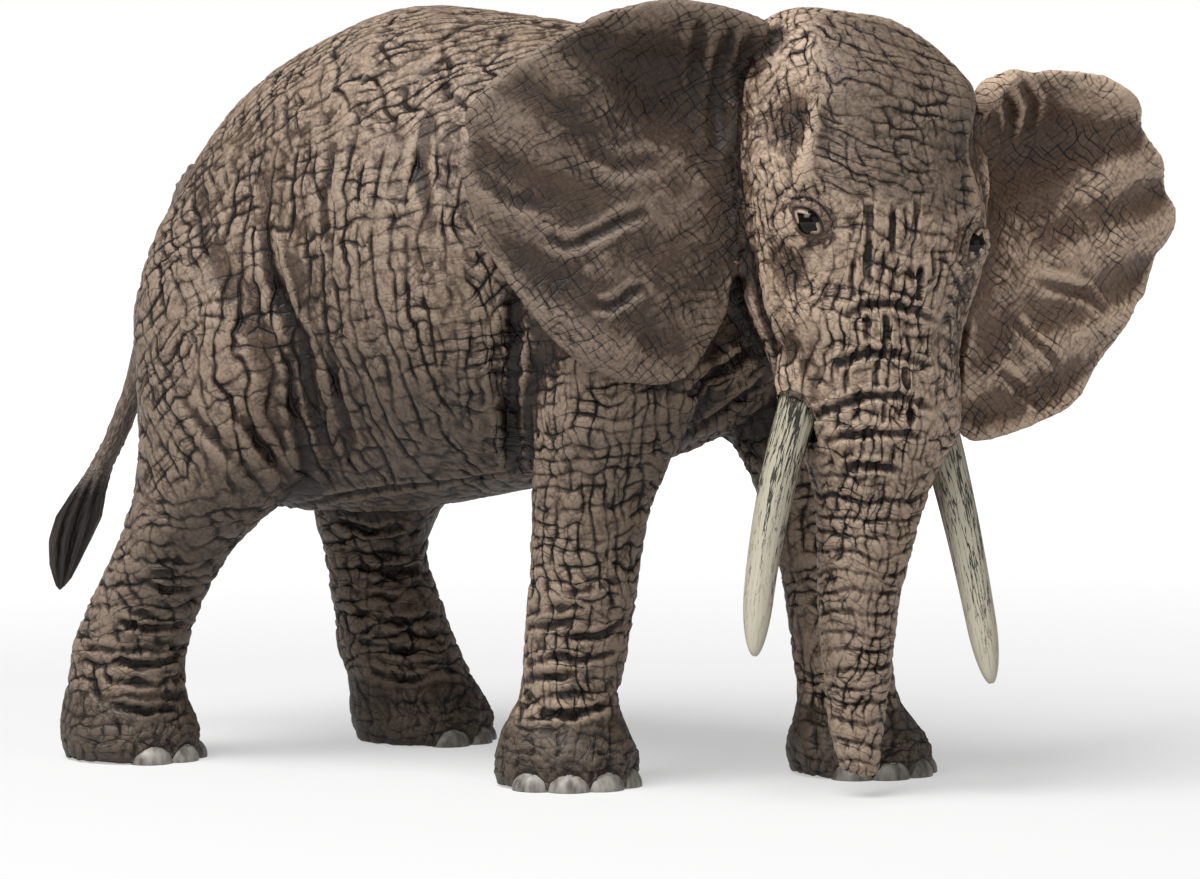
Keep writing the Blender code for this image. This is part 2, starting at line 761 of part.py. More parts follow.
def finish(piece, colour, roughness):
    """Smooth shading and the piece's own paint."""
    paint = bpy.data.materials.new(piece.name + "_paint")
    paint.use_nodes = True
    shader = paint.node_tree.nodes["Principled BSDF"]
    shader.inputs["Base Color"].default_value = (*colour, 1)
    shader.inputs["Roughness"].default_value = roughness
    shader.inputs["Metallic"].default_value = 0
    piece.data.materials.clear()
    piece.data.materials.append(paint)
    piece.data.shade_smooth()
    piece.data.set_sharp_from_angle(angle=math.radians(SHARP_ANGLE))
    return piece


# The skin: torso, legs, neck and head run together


def torso_form():
    rings = []
    for along, top, bottom, width in eased(TORSO_SHARES):
        high = BELLY_LEVEL + top * TORSO_HEIGHT
        low = BELLY_LEVEL + bottom * TORSO_HEIGHT
        widest = low + (high - low) * TORSO_WIDEST_SHARE
        middle = spot(RUMP_AHEAD + along * TORSO_LENGTH, 0, widest)
        half = width * TORSO_WIDTH / 2
        rings.append(oval(middle, LEFT, UP, half, high - widest, widest - low, TORSO_SQUARENESS))
    return loft(rings)


def leg_form(leg):
    """A leg from below its sole to inside the torso."""
    foot = spot(*leg["sole"], 0)
    front = turned(AHEAD, -leg["turn"])
    side = turned(LEFT, -leg["turn"])
    rings = []
    for up, shift, lean, half_length, half_width in eased(leg["shares"]):
        middle = foot + (AHEAD * shift + LEFT * lean + UP * up) * leg["height"]
        ease = min(1, max(0, up / LEG_UNTURNED_SHARE))
        length_way = front.lerp(AHEAD, ease).normalized()
        width_way = side.lerp(LEFT, ease).normalized()
        length, width = half_length * leg["foot"], half_width * leg["foot"]
        rings.append(oval(middle, width_way, length_way, width, length, length))
    return loft(rings)


def nails(name, leg):
    """Toenails in a fan round the front of the foot's rim, cut off level with the sole."""
    foot = spot(*leg["sole"], 0)
    made = []
    for k, turn in enumerate(leg["nails"]):
        way = turned(AHEAD, turn - leg["turn"])
        middle = foot + way * (leg["foot"] / 2 - NAIL_THICKNESS / 2 + NAIL_PROUD) + UP * NAIL_LEVEL
        halves = NAIL_WIDTH / 2, NAIL_THICKNESS / 2, NAIL_HEIGHT / 2
        nail = ball(middle, way.cross(UP), way, UP, *halves)
        for vert in nail.verts:
            vert.co.z = max(vert.co.z, 0)
        made.append(put(f"{name}_nail_{k}", [nail], CUTTERS))
    return made


def head_forms():
    rings = []
    for rise, ahead, lean, front, back, half in eased(SKULL_SHARES):
        centre = head_spot(ahead * SKULL_DEPTH, lean * SKULL_WIDTH, rise * CROWN_RISE)
        width, ahead_of, behind = half * SKULL_WIDTH, front * SKULL_DEPTH, back * SKULL_DEPTH
        rings.append(oval(centre, HEAD_SIDE, HEAD_FORWARD, width, ahead_of, behind, SKULL_SQUARENESS))
    for drop, ahead, lean, front, back, half in eased(MUZZLE_SHARES):
        centre = head_spot(ahead * SKULL_DEPTH, lean * SKULL_WIDTH, 0) - UP * drop * TRUNK_DROP
        width, ahead_of, behind = half * SKULL_WIDTH, front * SKULL_DEPTH, back * SKULL_DEPTH
        rings.append(oval(centre, HEAD_SIDE, HEAD_FORWARD, width, ahead_of, behind, MUZZLE_SQUARENESS))
    forms = [loft(rings), neck(), jaw()]
    for side in (1, -1):
        forms += [lip(side), brow(side), temple(side)]
    return forms


def neck():
    """From inside the chest to the back of the skull."""
    along, rise = NECK_START_SHARES
    start = spot(RUMP_AHEAD + TORSO_LENGTH * along, 0, BELLY_LEVEL + TORSO_HEIGHT * rise)
    end = head_spot(SKULL_DEPTH * NECK_END_SHARES[0], 0, CROWN_RISE * NECK_END_SHARES[1])
    way = (end - start).normalized()
    side = UP.cross(way).normalized()
    top = way.cross(side)
    rings = []
    for k in range(NECK_RING_COUNT):
        share = k / (NECK_RING_COUNT - 1)
        size = 1 - NECK_TAPER_SHARE * share
        half, high = NECK_WIDTH / 2 * size, NECK_HEIGHT / 2 * size
        rings.append(oval(start.lerp(end, share), side, top, half, high, high))
    return loft(rings)


def lip(side):
    """The sheath beside the trunk that the tusk comes out of."""
    points, way = tusk_line(side)
    across = way.cross(HEAD_FORWARD).normalized()
    middle = points[1][1] - way * TUSK_WIDTH * LIP_BACK_SHARE
    return ball(middle, across, across.cross(way), way, *[share * TUSK_WIDTH for share in LIP_SHARES])


def brow(side):
    """The swelling round the eye."""
    back, inward = BROW_PLACE_SHARES
    aside = side * (EYE_APART / 2 + EYE_WIDTH * inward) + EYE_LEAN
    middle = head_spot(EYE_FORWARD + EYE_WIDTH * back, aside, EYE_RISE)
    return ball(middle, HEAD_SIDE, HEAD_FORWARD, HEAD_UP, *[share * EYE_WIDTH for share in BROW_SHARES])


def temple(side):
    """The swelling behind the crown that the ear grows from."""
    back, apart, rise = TEMPLE_PLACE_SHARES
    wide, deep, high = TEMPLE_SHARES
    middle = head_spot(SKULL_DEPTH * back, side * SKULL_WIDTH * apart, CROWN_RISE * rise)
    halves = SKULL_WIDTH * wide, SKULL_DEPTH * deep, SKULL_WIDTH * high
    return ball(middle, HEAD_SIDE, HEAD_FORWARD, HEAD_UP, *halves)


def jaw():
    """The lower lip, behind the root of the trunk."""
    back, drop = JAW_PLACE_SHARES
    wide, deep, high = JAW_SHARES
    middle = head_spot(SKULL_DEPTH * back, 0, TUSK_ROOT_DROP * drop)
    halves = SKULL_WIDTH * wide, SKULL_DEPTH * deep, TUSK_WIDTH * high
    return ball(middle, HEAD_SIDE, HEAD_FORWARD, HEAD_UP, *halves)


def pressed(piece):
    """Presses the hollows into both sides of the body and raises the swellings."""
    count = len(piece.data.vertices)
    places, normals = np.empty(count * 3), np.empty(count * 3)
    piece.data.vertices.foreach_get("co", places)
    piece.data.vertex_normals.foreach_get("vector", normals)
    places, normals = places.reshape(-1, 3), normals.reshape(-1, 3)
    raised = np.zeros(count)
    for along, out, up, reach, reach_up, depth in BODY_RELIEF_SHARES:
        halves = np.array((reach, reach, reach_up)) * TORSO_HEIGHT
        for side in (1, -1):
            ahead, left = RUMP_AHEAD + along * TORSO_LENGTH, side * out * TORSO_WIDTH / 2
            middle = spot(ahead, left, BELLY_LEVEL + up * TORSO_HEIGHT)
            gap = (places - np.array(middle)) / halves
            raised += depth * BODY_RELIEF * np.exp(-(gap**2).sum(axis=1))
    moved = places + normals * raised[:, None]
    piece.data.vertices.foreach_set("co", moved.ravel())
    piece.data.update()
    return piece


def skin():
    forms = [torso_form()] + head_forms() + [leg_form(leg) for leg in LEGS.values()]
    whole = put("skin", forms, CUTTERS)
    melt(whole, CLAY_VOXEL, SMOOTH_COUNT)
    thin(pressed(whole), SKIN_FACE_COUNT)
    reach = TORSO_LENGTH * 2
    floor = put("floor", [block(spot(0, 0, -reach / 2), LEFT, AHEAD, UP, reach, reach, reach)], CUTTERS)
    return trim(boolean(whole, floor, "DIFFERENCE"))


# Tusks


def tusk_line(side):
    """Points along one tusk, from inside the head out to the tip, and the way it points."""
    start = head_spot(TUSK_ROOT_FORWARD, side * TUSK_ROOT_APART / 2 + TUSK_ROOT_LEAN, 0) - UP * TUSK_ROOT_DROP
    drop = math.sqrt(TUSK_LENGTH**2 - TUSK_SPLAY**2 - TUSK_THRUST**2)
    reach = HEAD_FORWARD * TUSK_THRUST + HEAD_SIDE * (side * TUSK_SPLAY + TUSK_TIP_LEAN) - UP * drop
    way = reach.normalized()
    outward = (HEAD_SIDE * side - HEAD_FORWARD) * TUSK_BOW / 2
    points = [(0, start - way * TUSK_ROOT_LENGTH), (0, start)]
    for share in TUSK_SHARES:
        points.append((share, start + reach * share + outward * 4 * share * (1 - share)))
    return points, way


def tusk_form(side, extra):
    points, way = tusk_line(side)
    points[0] = (0, points[0][1] - way * extra)
    across = way.cross(HEAD_FORWARD).normalized()
    over = across.cross(way)
    rings = []
    for share, point in points:
        blunt = max(0, share - TUSK_BLUNT_SHARE) / (1 - TUSK_BLUNT_SHARE)
        size = (1 - TUSK_TAPER_SHARE * share) * math.sqrt(1 - TUSK_ROUND_SHARE * blunt**2)
        half = TUSK_WIDTH / 2 * size + extra
        rings.append(oval(point, across, over, half, half, half, points=TUSK_COUNT))
    return loft(rings)


# Ears


# Each ear by its side
EAR_SIZES = {
    -1: {
        "reach": RIGHT_EAR_REACH,
        "height": RIGHT_EAR_HEIGHT,
        "top": RIGHT_EAR_TOP_RISE,
        "sweep": RIGHT_EAR_SWEEP,
        "hollow": RIGHT_EAR_HOLLOW,
        "bow": RIGHT_EAR_BOW,
        "wave": RIGHT_EAR_WAVE,
    },
    1: {
        "reach": LEFT_EAR_REACH,
        "height": LEFT_EAR_HEIGHT,
        "top": LEFT_EAR_TOP_RISE,
        "sweep": LEFT_EAR_SWEEP,
        "hollow": LEFT_EAR_HOLLOW,
        "bow": LEFT_EAR_BOW,
        "wave": LEFT_EAR_WAVE,
    },
}


def ear_point(side, out, drop, share):
    """A point of the ear's sheet: out and drop are shares of its reach and height, share runs root to rim."""
    size = EAR_SIZES[side]
    swept = math.radians(size["sweep"])
    outward = HEAD_SIDE * side * math.cos(swept) - HEAD_FORWARD * math.sin(swept)
    facing = HEAD_FORWARD * math.cos(swept) + HEAD_SIDE * side * math.sin(swept)
    root = head_spot(EAR_ROOT_FORWARD, side * EAR_ROOT_APART / 2, size["top"])
    hollow_out, hollow_reach, hollow_down, hollow_height = EAR_HOLLOW_SHARES
    hollow = -((out - hollow_out) / hollow_reach) ** 2 - ((drop - hollow_down) / hollow_height) ** 2
    roll_down, roll_height, roll_fade = EAR_ROLL_SHARES
    roll = EAR_ROLL * math.exp(-(((drop - roll_down) / roll_height) ** 2)) * (1 - roll_fade * out)
    turns = EAR_WAVES_DOWN * drop + EAR_WAVES_OUT * out
    ripple = size["wave"] * share**2 * math.sin(math.tau * turns)
    bend_down, bend_out, bend_middle = EAR_BEND_SHARES
    bend = EAR_CUP * (bend_down * (drop - bend_middle) ** 2 - bend_out * out**2)
    bow = size["bow"] * 4 * out * (1 - out) * drop
    proud = roll + ripple + bend + bow - size["hollow"] * math.exp(hollow)
    return root + outward * out * size["reach"] - HEAD_UP * drop * size["height"] + facing * proud


def ear_form(side, rim):
    """The ear's sheet in rings from root to rim, and its thickness as a share for each point."""
    sheet = bmesh.new()
    count = len(rim)
    rows, weights = [], []
    for ring in range(EAR_RING_COUNT):
        share = ring / (EAR_RING_COUNT - 1)
        row = []
        for k, (out, drop) in enumerate(rim):
            root_drop = EAR_ROOT_TOP_SHARE + (EAR_ROOT_BOTTOM_SHARE - EAR_ROOT_TOP_SHARE) * k / (count - 1)
            x = out * share
            y = root_drop + (drop - root_drop) * share
            row.append(sheet.verts.new(ear_point(side, x, y, share)))
            weights.append(1 - (1 - EAR_RIM_SHARE) * share)
        rows.append(row)
    for inner, outer in zip(rows, rows[1:]):
        for k in range(count - 1):
            corners = (inner[k], inner[k + 1], outer[k + 1], outer[k])
            sheet.faces.new(corners if side > 0 else corners[::-1])
    return sheet, weights


def ear(name, side, rim):
    sheet, weights = ear_form(side, eased(rim))
    made = put(name, [sheet], FIGURE)
    depth = made.vertex_groups.new(name="thickness")
    for index, weight in enumerate(weights):
        depth.add([index], weight, "REPLACE")
    shell = made.modifiers.new("shell", "SOLIDIFY")
    shell.thickness = EAR_THICKNESS
    shell.offset = 0
    shell.vertex_group = "thickness"
    settle(made)
    return thin(melt(made, EAR_VOXEL, EAR_SMOOTH_COUNT), EAR_FACE_COUNT)


def ear_tongue(name, side, extra):
    """The flat tenon in the middle of the ear's root."""
    drop = (EAR_ROOT_TOP_SHARE + EAR_ROOT_BOTTOM_SHARE) / 2
    root = ear_point(side, 0, drop, 0)
    inward = EAR_TONGUE_DEPTH / 2 + extra / 2
    middle = root - HEAD_SIDE * side * (inward - EAR_TONGUE_LAP / 2)
    width = EAR_TONGUE_DEPTH + EAR_TONGUE_LAP + extra
    thick = EAR_TONGUE_THICKNESS + extra * 2
    high = EAR_TONGUE_HEIGHT + extra * 2
    return put(name, [block(middle, HEAD_SIDE, HEAD_FORWARD, HEAD_UP, width, thick, high)], CUTTERS)


# Tail


def tail_ring(middle, half, flute):
    ring = []
    count = TUFT_LOCK_COUNT * 2
    for k in range(count):
        angle = math.tau * k / count
        reach = half * (1 - flute * (0.5 - 0.5 * math.cos(angle * TUFT_LOCK_COUNT)))
        ring.append(middle + LEFT * math.cos(angle) * reach + AHEAD * math.sin(angle) * reach)
    return ring


def tail_form(extra):
    root = spot(TAIL_AHEAD, 0, TAIL_LEVEL)
    inside = root + (AHEAD + UP * TAIL_CLIMB_SHARE) * (TAIL_ROOT_LENGTH + extra)
    rings = [tail_ring(inside, TAIL_WIDTH * TAIL_SHARES[0][2] + extra, 0)]
    for drop, swing, half in TAIL_SHARES:
        middle = root - UP * drop * TAIL_DROP - AHEAD * swing * TAIL_SWING
        rings.append(tail_ring(middle, half * TAIL_WIDTH + extra, 0))
    for drop, swing, half in TUFT_SHARES:
        middle = root - UP * drop * TAIL_DROP - AHEAD * swing * TAIL_SWING
        rings.append(tail_ring(middle, half * TUFT_WIDTH + extra, LOCK_DEPTH_SHARE))
    return loft(rings)


# The cuts that part the skin into pieces


def widened(points, extra):
    """A closed outline, given clockwise, moved outward by the extra."""
    moved = []
    for k, point in enumerate(points):
        before, after = points[k - 1], points[(k + 1) % len(points)]
        first = Vector((before[1] - point[1], point[0] - before[0])).normalized()
        second = Vector((point[1] - after[1], after[0] - point[0])).normalized()
        mitre = (first + second).normalized()
        moved.append(Vector(point) + mitre * extra / max(mitre.dot(first), MITRE_LIMIT_SHARE))
    return moved


def leg_region(name, leg, extra):
    """The block a leg takes: an arch in the flank and everything below the groin at its corner."""
    side, length = leg["side"], leg["arch_length"]
    rise = leg["arch_top"] - GROIN_LEVEL
    arch_points = eased(leg["arch"], ARCH_COUNT)
    outline = [(leg["seam_ahead"] + along * length, GROIN_LEVEL + up * rise) for along, up in arch_points]
    faces = []
    for left in (leg["inner"] - extra, TORSO_WIDTH):
        faces.append([spot(ahead, side * left, up) for ahead, up in widened(outline, extra)])
    arch = put(name, [loft(faces)], CUTTERS)
    sole, reach = leg["sole"][0], leg["foot"] * SOLE_REACH_SHARE
    start = min(sole - reach, min(ahead for ahead, _ in outline))
    end = max(sole + reach, leg["seam_ahead"] + length)
    width, depth, height = TORSO_WIDTH - leg["crotch"], end - start + 2 * extra, GROIN_LEVEL + OVERRUN + extra
    middle = spot((start + end) / 2, side * (leg["crotch"] + width / 2), height / 2 - OVERRUN)
    lower = put(name + "_low", [block(middle, LEFT, AHEAD, UP, width, depth, height)], CUTTERS)
    return boolean(arch, lower, "UNION")


def neck_region(name, extra):
    """Everything ahead of the neck's seam."""
    way = turned(AHEAD, -NECK_SEAM_TURN)
    side = turned(LEFT, -NECK_SEAM_TURN)
    way = turned(way, NECK_SEAM_TILT, -side)
    top = way.cross(side) * -1
    seam = spot(NECK_SEAM_AHEAD, 0, NECK_SEAM_LEVEL)
    reach = TORSO_LENGTH * 2
    return put(name, [block(seam + way * (reach / 2 - extra), side, way, top, reach, reach, reach)], CUTTERS)


def neck_plug(name, extra):
    """The round tenon of the head, above the front legs' blocks."""
    seam = spot(NECK_SEAM_AHEAD, 0, NECK_SEAM_LEVEL + NECK_PLUG_RISE)
    start = seam - AHEAD * (NECK_PLUG_DEPTH + extra)
    return put(name, [rod(start, seam + AHEAD * PLUG_DEPTH, NECK_PLUG_WIDTH + 2 * extra)], CUTTERS)


def leg_plug(name, leg, extra):
    """The round tenon on the inner face of a leg's arch."""
    ahead, level = leg["plug"]
    start = spot(ahead, leg["side"] * (leg["inner"] - PLUG_DEPTH - extra), level)
    end = spot(ahead, leg["side"] * (leg["inner"] + PLUG_DEPTH / 2), level)
    return put(name, [rod(start, end, PLUG_WIDTH + 2 * extra)], CUTTERS)


def eye(name, side):
    """The eyeball that stands out between the lids."""
    out = (HEAD_SIDE * side + HEAD_FORWARD * EYE_FACING).normalized()
    along = HEAD_UP.cross(out).normalized()
    middle = head_spot(EYE_FORWARD, side * EYE_APART / 2 + EYE_LEAN, EYE_RISE) + out * EYE_PROUD
    wide, high = EYE_BALL_WIDTH / 2, EYE_BALL_HEIGHT / 2
    return put(name, [ball(middle, along, out, HEAD_UP, wide, wide, high)], CUTTERS)


def build():
    whole = skin()
    torso = bpy.data.objects.new("torso", whole.data.copy())
    FIGURE.objects.link(torso)
    pieces = [torso]
    for name, leg in LEGS.items():
        limb = trim(cut_from(name, whole, leg_region(name + "_region", leg, 0)))
        for nail in nails(name, leg):
            boolean(limb, nail, "UNION")
        pieces.append(trim(boolean(limb, leg_plug(name + "_plug", leg, 0), "UNION")))
        boolean(torso, leg_region(name + "_room", leg, SEAM_GAP), "DIFFERENCE")

    head = trim(cut_from("head", torso, neck_region("head_region", 0)))
    for side in (1, -1):
        boolean(head, eye(f"eye_{side}", side), "UNION")
    pieces.append(trim(boolean(head, neck_plug("neck_plug", 0), "UNION")))
    boolean(torso, neck_region("neck_room", SEAM_GAP), "DIFFERENCE")
    trim(torso)
    body_room = grown(whole, EAR_GAP, "body_room")

    pieces.append(put("tail", [tail_form(0)], FIGURE))
    for name, leg in LEGS.items():
        boolean(torso, leg_plug(name + "_socket", leg, SEAM_GAP), "DIFFERENCE")
    boolean(torso, neck_plug("neck_socket", SEAM_GAP), "DIFFERENCE")
    boolean(torso, put("tail_socket", [tail_form(SEAM_GAP)], CUTTERS), "DIFFERENCE")
    trim(torso)

    for side, word, rim in ((-1, "right", RIGHT_EAR_SHARES), (1, "left", LEFT_EAR_SHARES)):
        flap = trim(boolean(ear("ear_" + word, side, rim), body_room, "DIFFERENCE"))
        boolean(flap, ear_tongue(f"ear_{word}_tongue", side, 0), "UNION")
        pieces.append(trim(flap))
        boolean(head, ear_tongue(f"ear_{word}_slot", side, SEAM_GAP), "DIFFERENCE")
        pieces.append(put("tusk_" + word, [tusk_form(side, 0)], FIGURE))
        boolean(head, put(f"tusk_{word}_socket", [tusk_form(side, SEAM_GAP)], CUTTERS), "DIFFERENCE")
    trim(head)
    return pieces


for built in build():
    paint = TUSK_PAINT if built.name.startswith("tusk") else SKIN_PAINT
    finish(built, *paint)
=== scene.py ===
# Toy elephant figure, dressed for the camera: a moulded PVC cow elephant with a hand-painted wrinkled hide.
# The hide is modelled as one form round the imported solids, creased, and parted again into their pieces.
import math

import bmesh
import bpy
import numpy as np
from mathutils import Euler, Matrix, Vector
from mathutils.bvhtree import BVHTree


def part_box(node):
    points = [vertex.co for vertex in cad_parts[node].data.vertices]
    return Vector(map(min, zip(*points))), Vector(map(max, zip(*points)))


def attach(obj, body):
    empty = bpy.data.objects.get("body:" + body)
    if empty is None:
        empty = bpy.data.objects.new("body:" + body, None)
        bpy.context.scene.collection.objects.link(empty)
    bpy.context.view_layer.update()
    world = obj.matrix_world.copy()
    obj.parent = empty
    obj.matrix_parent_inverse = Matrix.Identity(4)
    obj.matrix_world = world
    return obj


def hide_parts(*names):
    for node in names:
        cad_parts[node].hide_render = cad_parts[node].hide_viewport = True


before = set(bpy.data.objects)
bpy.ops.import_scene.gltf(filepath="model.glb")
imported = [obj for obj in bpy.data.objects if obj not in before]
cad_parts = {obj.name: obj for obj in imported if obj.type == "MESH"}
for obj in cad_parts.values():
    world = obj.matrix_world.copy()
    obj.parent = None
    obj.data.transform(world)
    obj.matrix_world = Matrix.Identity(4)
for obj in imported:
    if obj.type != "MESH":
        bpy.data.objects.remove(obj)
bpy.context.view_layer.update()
mm = 0.001

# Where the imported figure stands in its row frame, in mm: the animal's own middle, and the head's
animal = {
    "centreAhead": 3.1,
    "centreLeft": 2.0,
    "headMiddle": (-3.5, -45.9, 65.5),
    "headTurn": 43.0,
    "headRoll": -8.0,
}


def addNode(tree, kind, inputs=(), out=0, **settings):  # hands back one output, or all when out is None
    node = tree.nodes.new(kind if kind.startswith(("Geometry", "Node")) else "ShaderNode" + kind)
    for key, value in settings.items():
        setattr(node, key, value)
    for key, value in inputs.items() if isinstance(inputs, dict) else enumerate(inputs):
        if isinstance(value, bpy.types.NodeSocket):
            tree.links.new(value, node.inputs[key])
        else:
            node.inputs[key].default_value = value
    return node.outputs if out is None else node.outputs[out]


def linear(code, alpha=1.0):  # an sRGB hex value as linear colour
    parts = [int(code[k : k + 2], 16) / 255 for k in (1, 3, 5)]
    return tuple([((c + 0.055) / 1.055) ** 2.4 if c > 0.04045 else c / 12.92 for c in parts] + [alpha])


def fade(low, high, value):
    t = np.clip((value - low) / (high - low), 0, 1)
    return t * t * (3 - 2 * t)


def unit(rows):
    return rows / np.maximum(np.linalg.norm(rows, axis=-1, keepdims=True), 1e-12)


# Camera: 153 mm lens, from the animal's right front and a little above its back
view = {
    "place": (-0.52906, -0.31547, 0.07708),
    "turn": -60.0,
    "drop": 3.5,
    "lens": 153.0,
    "width": 1200,
    "height": 879,
}
view["scale"] = view["lens"] / 36 * view["width"]
turnAngle, dropAngle = math.radians(view["turn"]), math.radians(view["drop"])
level = Vector((math.sin(turnAngle), -math.cos(turnAngle), 0))
back = level * math.cos(dropAngle) + Vector((0, 0, math.sin(dropAngle)))
cameraData = bpy.data.cameras.new("camera")
cameraData.lens = view["lens"]
cameraData.sensor_width = 36
cameraData.sensor_fit = "HORIZONTAL"
cameraData.clip_start = 0.05
cameraData.clip_end = 20
camera = bpy.data.objects.new("camera", cameraData)
camera.location = view["place"]
camera.rotation_mode = "QUATERNION"
camera.rotation_quaternion = (-back).to_track_quat("-Z", "Y")
bpy.context.scene.collection.objects.link(camera)
bpy.context.scene.camera = camera


def sight(x, y):  # the direction from the camera through a pixel of the photograph
    turn = camera.rotation_quaternion
    aside, above = (x - view["width"] / 2) / view["scale"], (view["height"] / 2 - y) / view["scale"]
    return (turn @ Vector((aside, above, -1))).normalized()


# Clay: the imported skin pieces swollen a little, run together in small voxels, smoothed and drawn back
clay = {"swell": 0.35, "voxel": 0.40, "soften": 5}
pieceNames = {
    "torso": "torsoHide",
    "head": "headHide",
    "ear_right": "earRightHide",
    "ear_left": "earLeftHide",
    "leg_front_right": "legFrontRightHide",
    "leg_front_left": "legFrontLeftHide",
    "leg_rear_right": "legRearRightHide",
    "leg_rear_left": "legRearLeftHide",
}
skinNodes = list(pieceNames)


def nodeMesh(name):
    made = bmesh.new()
    made.from_mesh(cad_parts[name].data)
    bmesh.ops.remove_doubles(made, verts=made.verts, dist=1e-6)
    return made


def sceneObject(name, mesh):
    made = bpy.data.objects.new(name, mesh)
    bpy.context.scene.collection.objects.link(made)
    return made


def baked(obj):  # the object's mesh with its modifiers applied, as a plain mesh
    bpy.context.view_layer.update()
    mesh = bpy.data.meshes.new_from_object(obj.evaluated_get(bpy.context.evaluated_depsgraph_get()))
    obj.modifiers.clear()
    old = obj.data
    obj.data = mesh
    bpy.data.meshes.remove(old)
    return obj


def remeshed(name, forms, swell, voxel, soften):
    joined = bpy.data.meshes.new(name)
    whole = bmesh.new()
    for form in forms:
        part = bpy.data.meshes.new("part")
        form.normal_update()
        for vert in form.verts:
            vert.co += vert.normal * swell * mm
        form.to_mesh(part)
        whole.from_mesh(part)
        bpy.data.meshes.remove(part)
    whole.to_mesh(joined)
    whole.free()
    made = sceneObject(name, joined)
    remesh = made.modifiers.new("remesh", "REMESH")
    remesh.mode = "VOXEL"
    remesh.voxel_size = voxel * mm
    smooth = made.modifiers.new("smooth", "SMOOTH")
    smooth.factor = 0.5
    smooth.iterations = soften
    draw = made.modifiers.new("draw", "DISPLACE")
    draw.mid_level = 0
    draw.strength = -swell * mm
    return baked(made)


def meshArrays(mesh):
    verts = np.empty(len(mesh.vertices) * 3)
    mesh.vertices.foreach_get("co", verts)
    quads = np.empty(len(mesh.loops), dtype=np.int64)
    mesh.loops.foreach_get("vertex_index", quads)
    return verts.reshape(-1, 3) / mm, quads.reshape(-1, 4)


def keepLargest(obj):
    shape = bmesh.new()
    shape.from_mesh(obj.data)
    left, best = set(shape.verts), []
    while len(left) > len(best):
        start = left.pop()
        body, front = [start], [start]
        while front:
            for edge in front.pop().link_edges:
                for other in edge.verts:
                    if other in left:
                        left.remove(other)
                        body.append(other)
                        front.append(other)
        best = max(best, body, key=len)
    keep = set(best)
    bmesh.ops.delete(shape, geom=[vert for vert in shape.verts if vert not in keep], context="VERTS")
    shape.to_mesh(obj.data)
    shape.free()


skin = remeshed("skin", [nodeMesh(name) for name in skinNodes], **clay)
keepLargest(skin)
points, quads = meshArrays(skin.data)
count = len(points)
edges = np.unique(np.sort(np.vstack([quads[:, [k, (k + 1) % 4]] for k in range(4)]), axis=1), axis=0)
links = np.bincount(edges.ravel(), minlength=count)
print("clay:", count, "points")


def blurred(values, times):  # neighbour averages over the hide; 50 times is about 2 mm
    for _ in range(times):
        total = np.bincount(edges[:, 0], values[edges[:, 1]], count)
        total += np.bincount(edges[:, 1], values[edges[:, 0]], count)
        values = values * 0.4 + 0.6 * total / links
    return values


def blurredPoints(rows, times):
    return np.stack([blurred(rows[:, k], times) for k in range(3)], axis=1)


def pointNormals(rows):
    across = np.cross(rows[quads[:, 2]] - rows[quads[:, 0]], rows[quads[:, 3]] - rows[quads[:, 1]])
    sums = [np.bincount(quads.ravel(), np.repeat(across[:, k], 4), count) for k in range(3)]
    return unit(np.stack(sums, axis=1))


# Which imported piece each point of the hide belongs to: the nearest one
distances = np.full((len(skinNodes), count), 9.0)
for row, name in zip(distances, skinNodes):
    shape = nodeMesh(name)
    packed = BVHTree.FromBMesh(shape)
    low, high = [np.array(corner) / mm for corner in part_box(name)]
    near = np.all((points > low - 1.5) & (points < high + 1.5), axis=1)
    row[near] = [packed.find_nearest(Vector(point) * mm)[3] / mm for point in points[near]]
    shape.free()
distances = np.array([blurred(row, 6) for row in distances])
owner = np.argmin(distances, axis=0)
print("owners:", dict(zip(skinNodes, np.bincount(owner))))

# Directions: the animal's ahead, left and up, and the same for the head
headTurn = Euler((0, 0, math.radians(-animal["headTurn"]))).to_matrix()
headForward = headTurn @ Vector((0, -1, 0))
headRoll = Matrix.Rotation(math.radians(animal["headRoll"]), 3, headForward)
headSide = headRoll @ headTurn @ Vector((1, 0, 0))
headUp = headRoll @ Vector((0, 0, 1))
headAxes = Matrix((headSide, -headForward, headUp))
ahead, left, up = animal["centreAhead"] - points[:, 1], points[:, 0] + animal["centreLeft"], points[:, 2]
side, rear, rise = ((points - animal["headMiddle"]) @ np.array(headAxes).T).T
forward = -rear


def headSpot(forwardBy, sideBy, riseBy):  # a place in mm from the point between the eyes
    return Vector(animal["headMiddle"]) + headForward * forwardBy + headSide * sideBy + headUp * riseBy


# Sculpting: soft swellings, hollows and creases laid on the clay. Places are pixels of the photograph, sent
# on to the surface behind them. A fold may be copied across the middle of the body or of the head
skinTree = BVHTree.FromPolygons([Vector(point) for point in points], quads.tolist())
normals = pointNormals(points)
lift = np.zeros(count)


def pick(x, y):
    place, normal, _, _ = skinTree.ray_cast(Vector(view["place"]) / mm, sight(x, y))
    if place is None:
        raise ValueError(f"pixel {x}, {y} misses the hide")
    return np.array(place), np.array(normal)


def across(picked, mirror):  # the same places on the other side of the body or the head
    if mirror == "body":
        normal, middle = Vector((1, 0, 0)), Vector((-animal["centreLeft"], 0, 0))
    else:
        normal, middle = headSide, Vector(animal["headMiddle"])
    made = []
    for place, _ in picked:
        place = Vector(place)
        found = skinTree.find_nearest(place - 2 * (place - middle).dot(normal) * normal)
        made.append((np.array(found[0]), np.array(found[1])))
    return made


def swell(x, y, reach, amount, mirror=None):
    picked = [pick(x, y)]
    if mirror:
        picked += across(picked, mirror)
    for place, normal in picked:
        gap = (points - place) / reach
        lift[:] += amount * np.exp(-(gap**2).sum(axis=1)) * fade(-0.2, 0.4, normals @ normal)


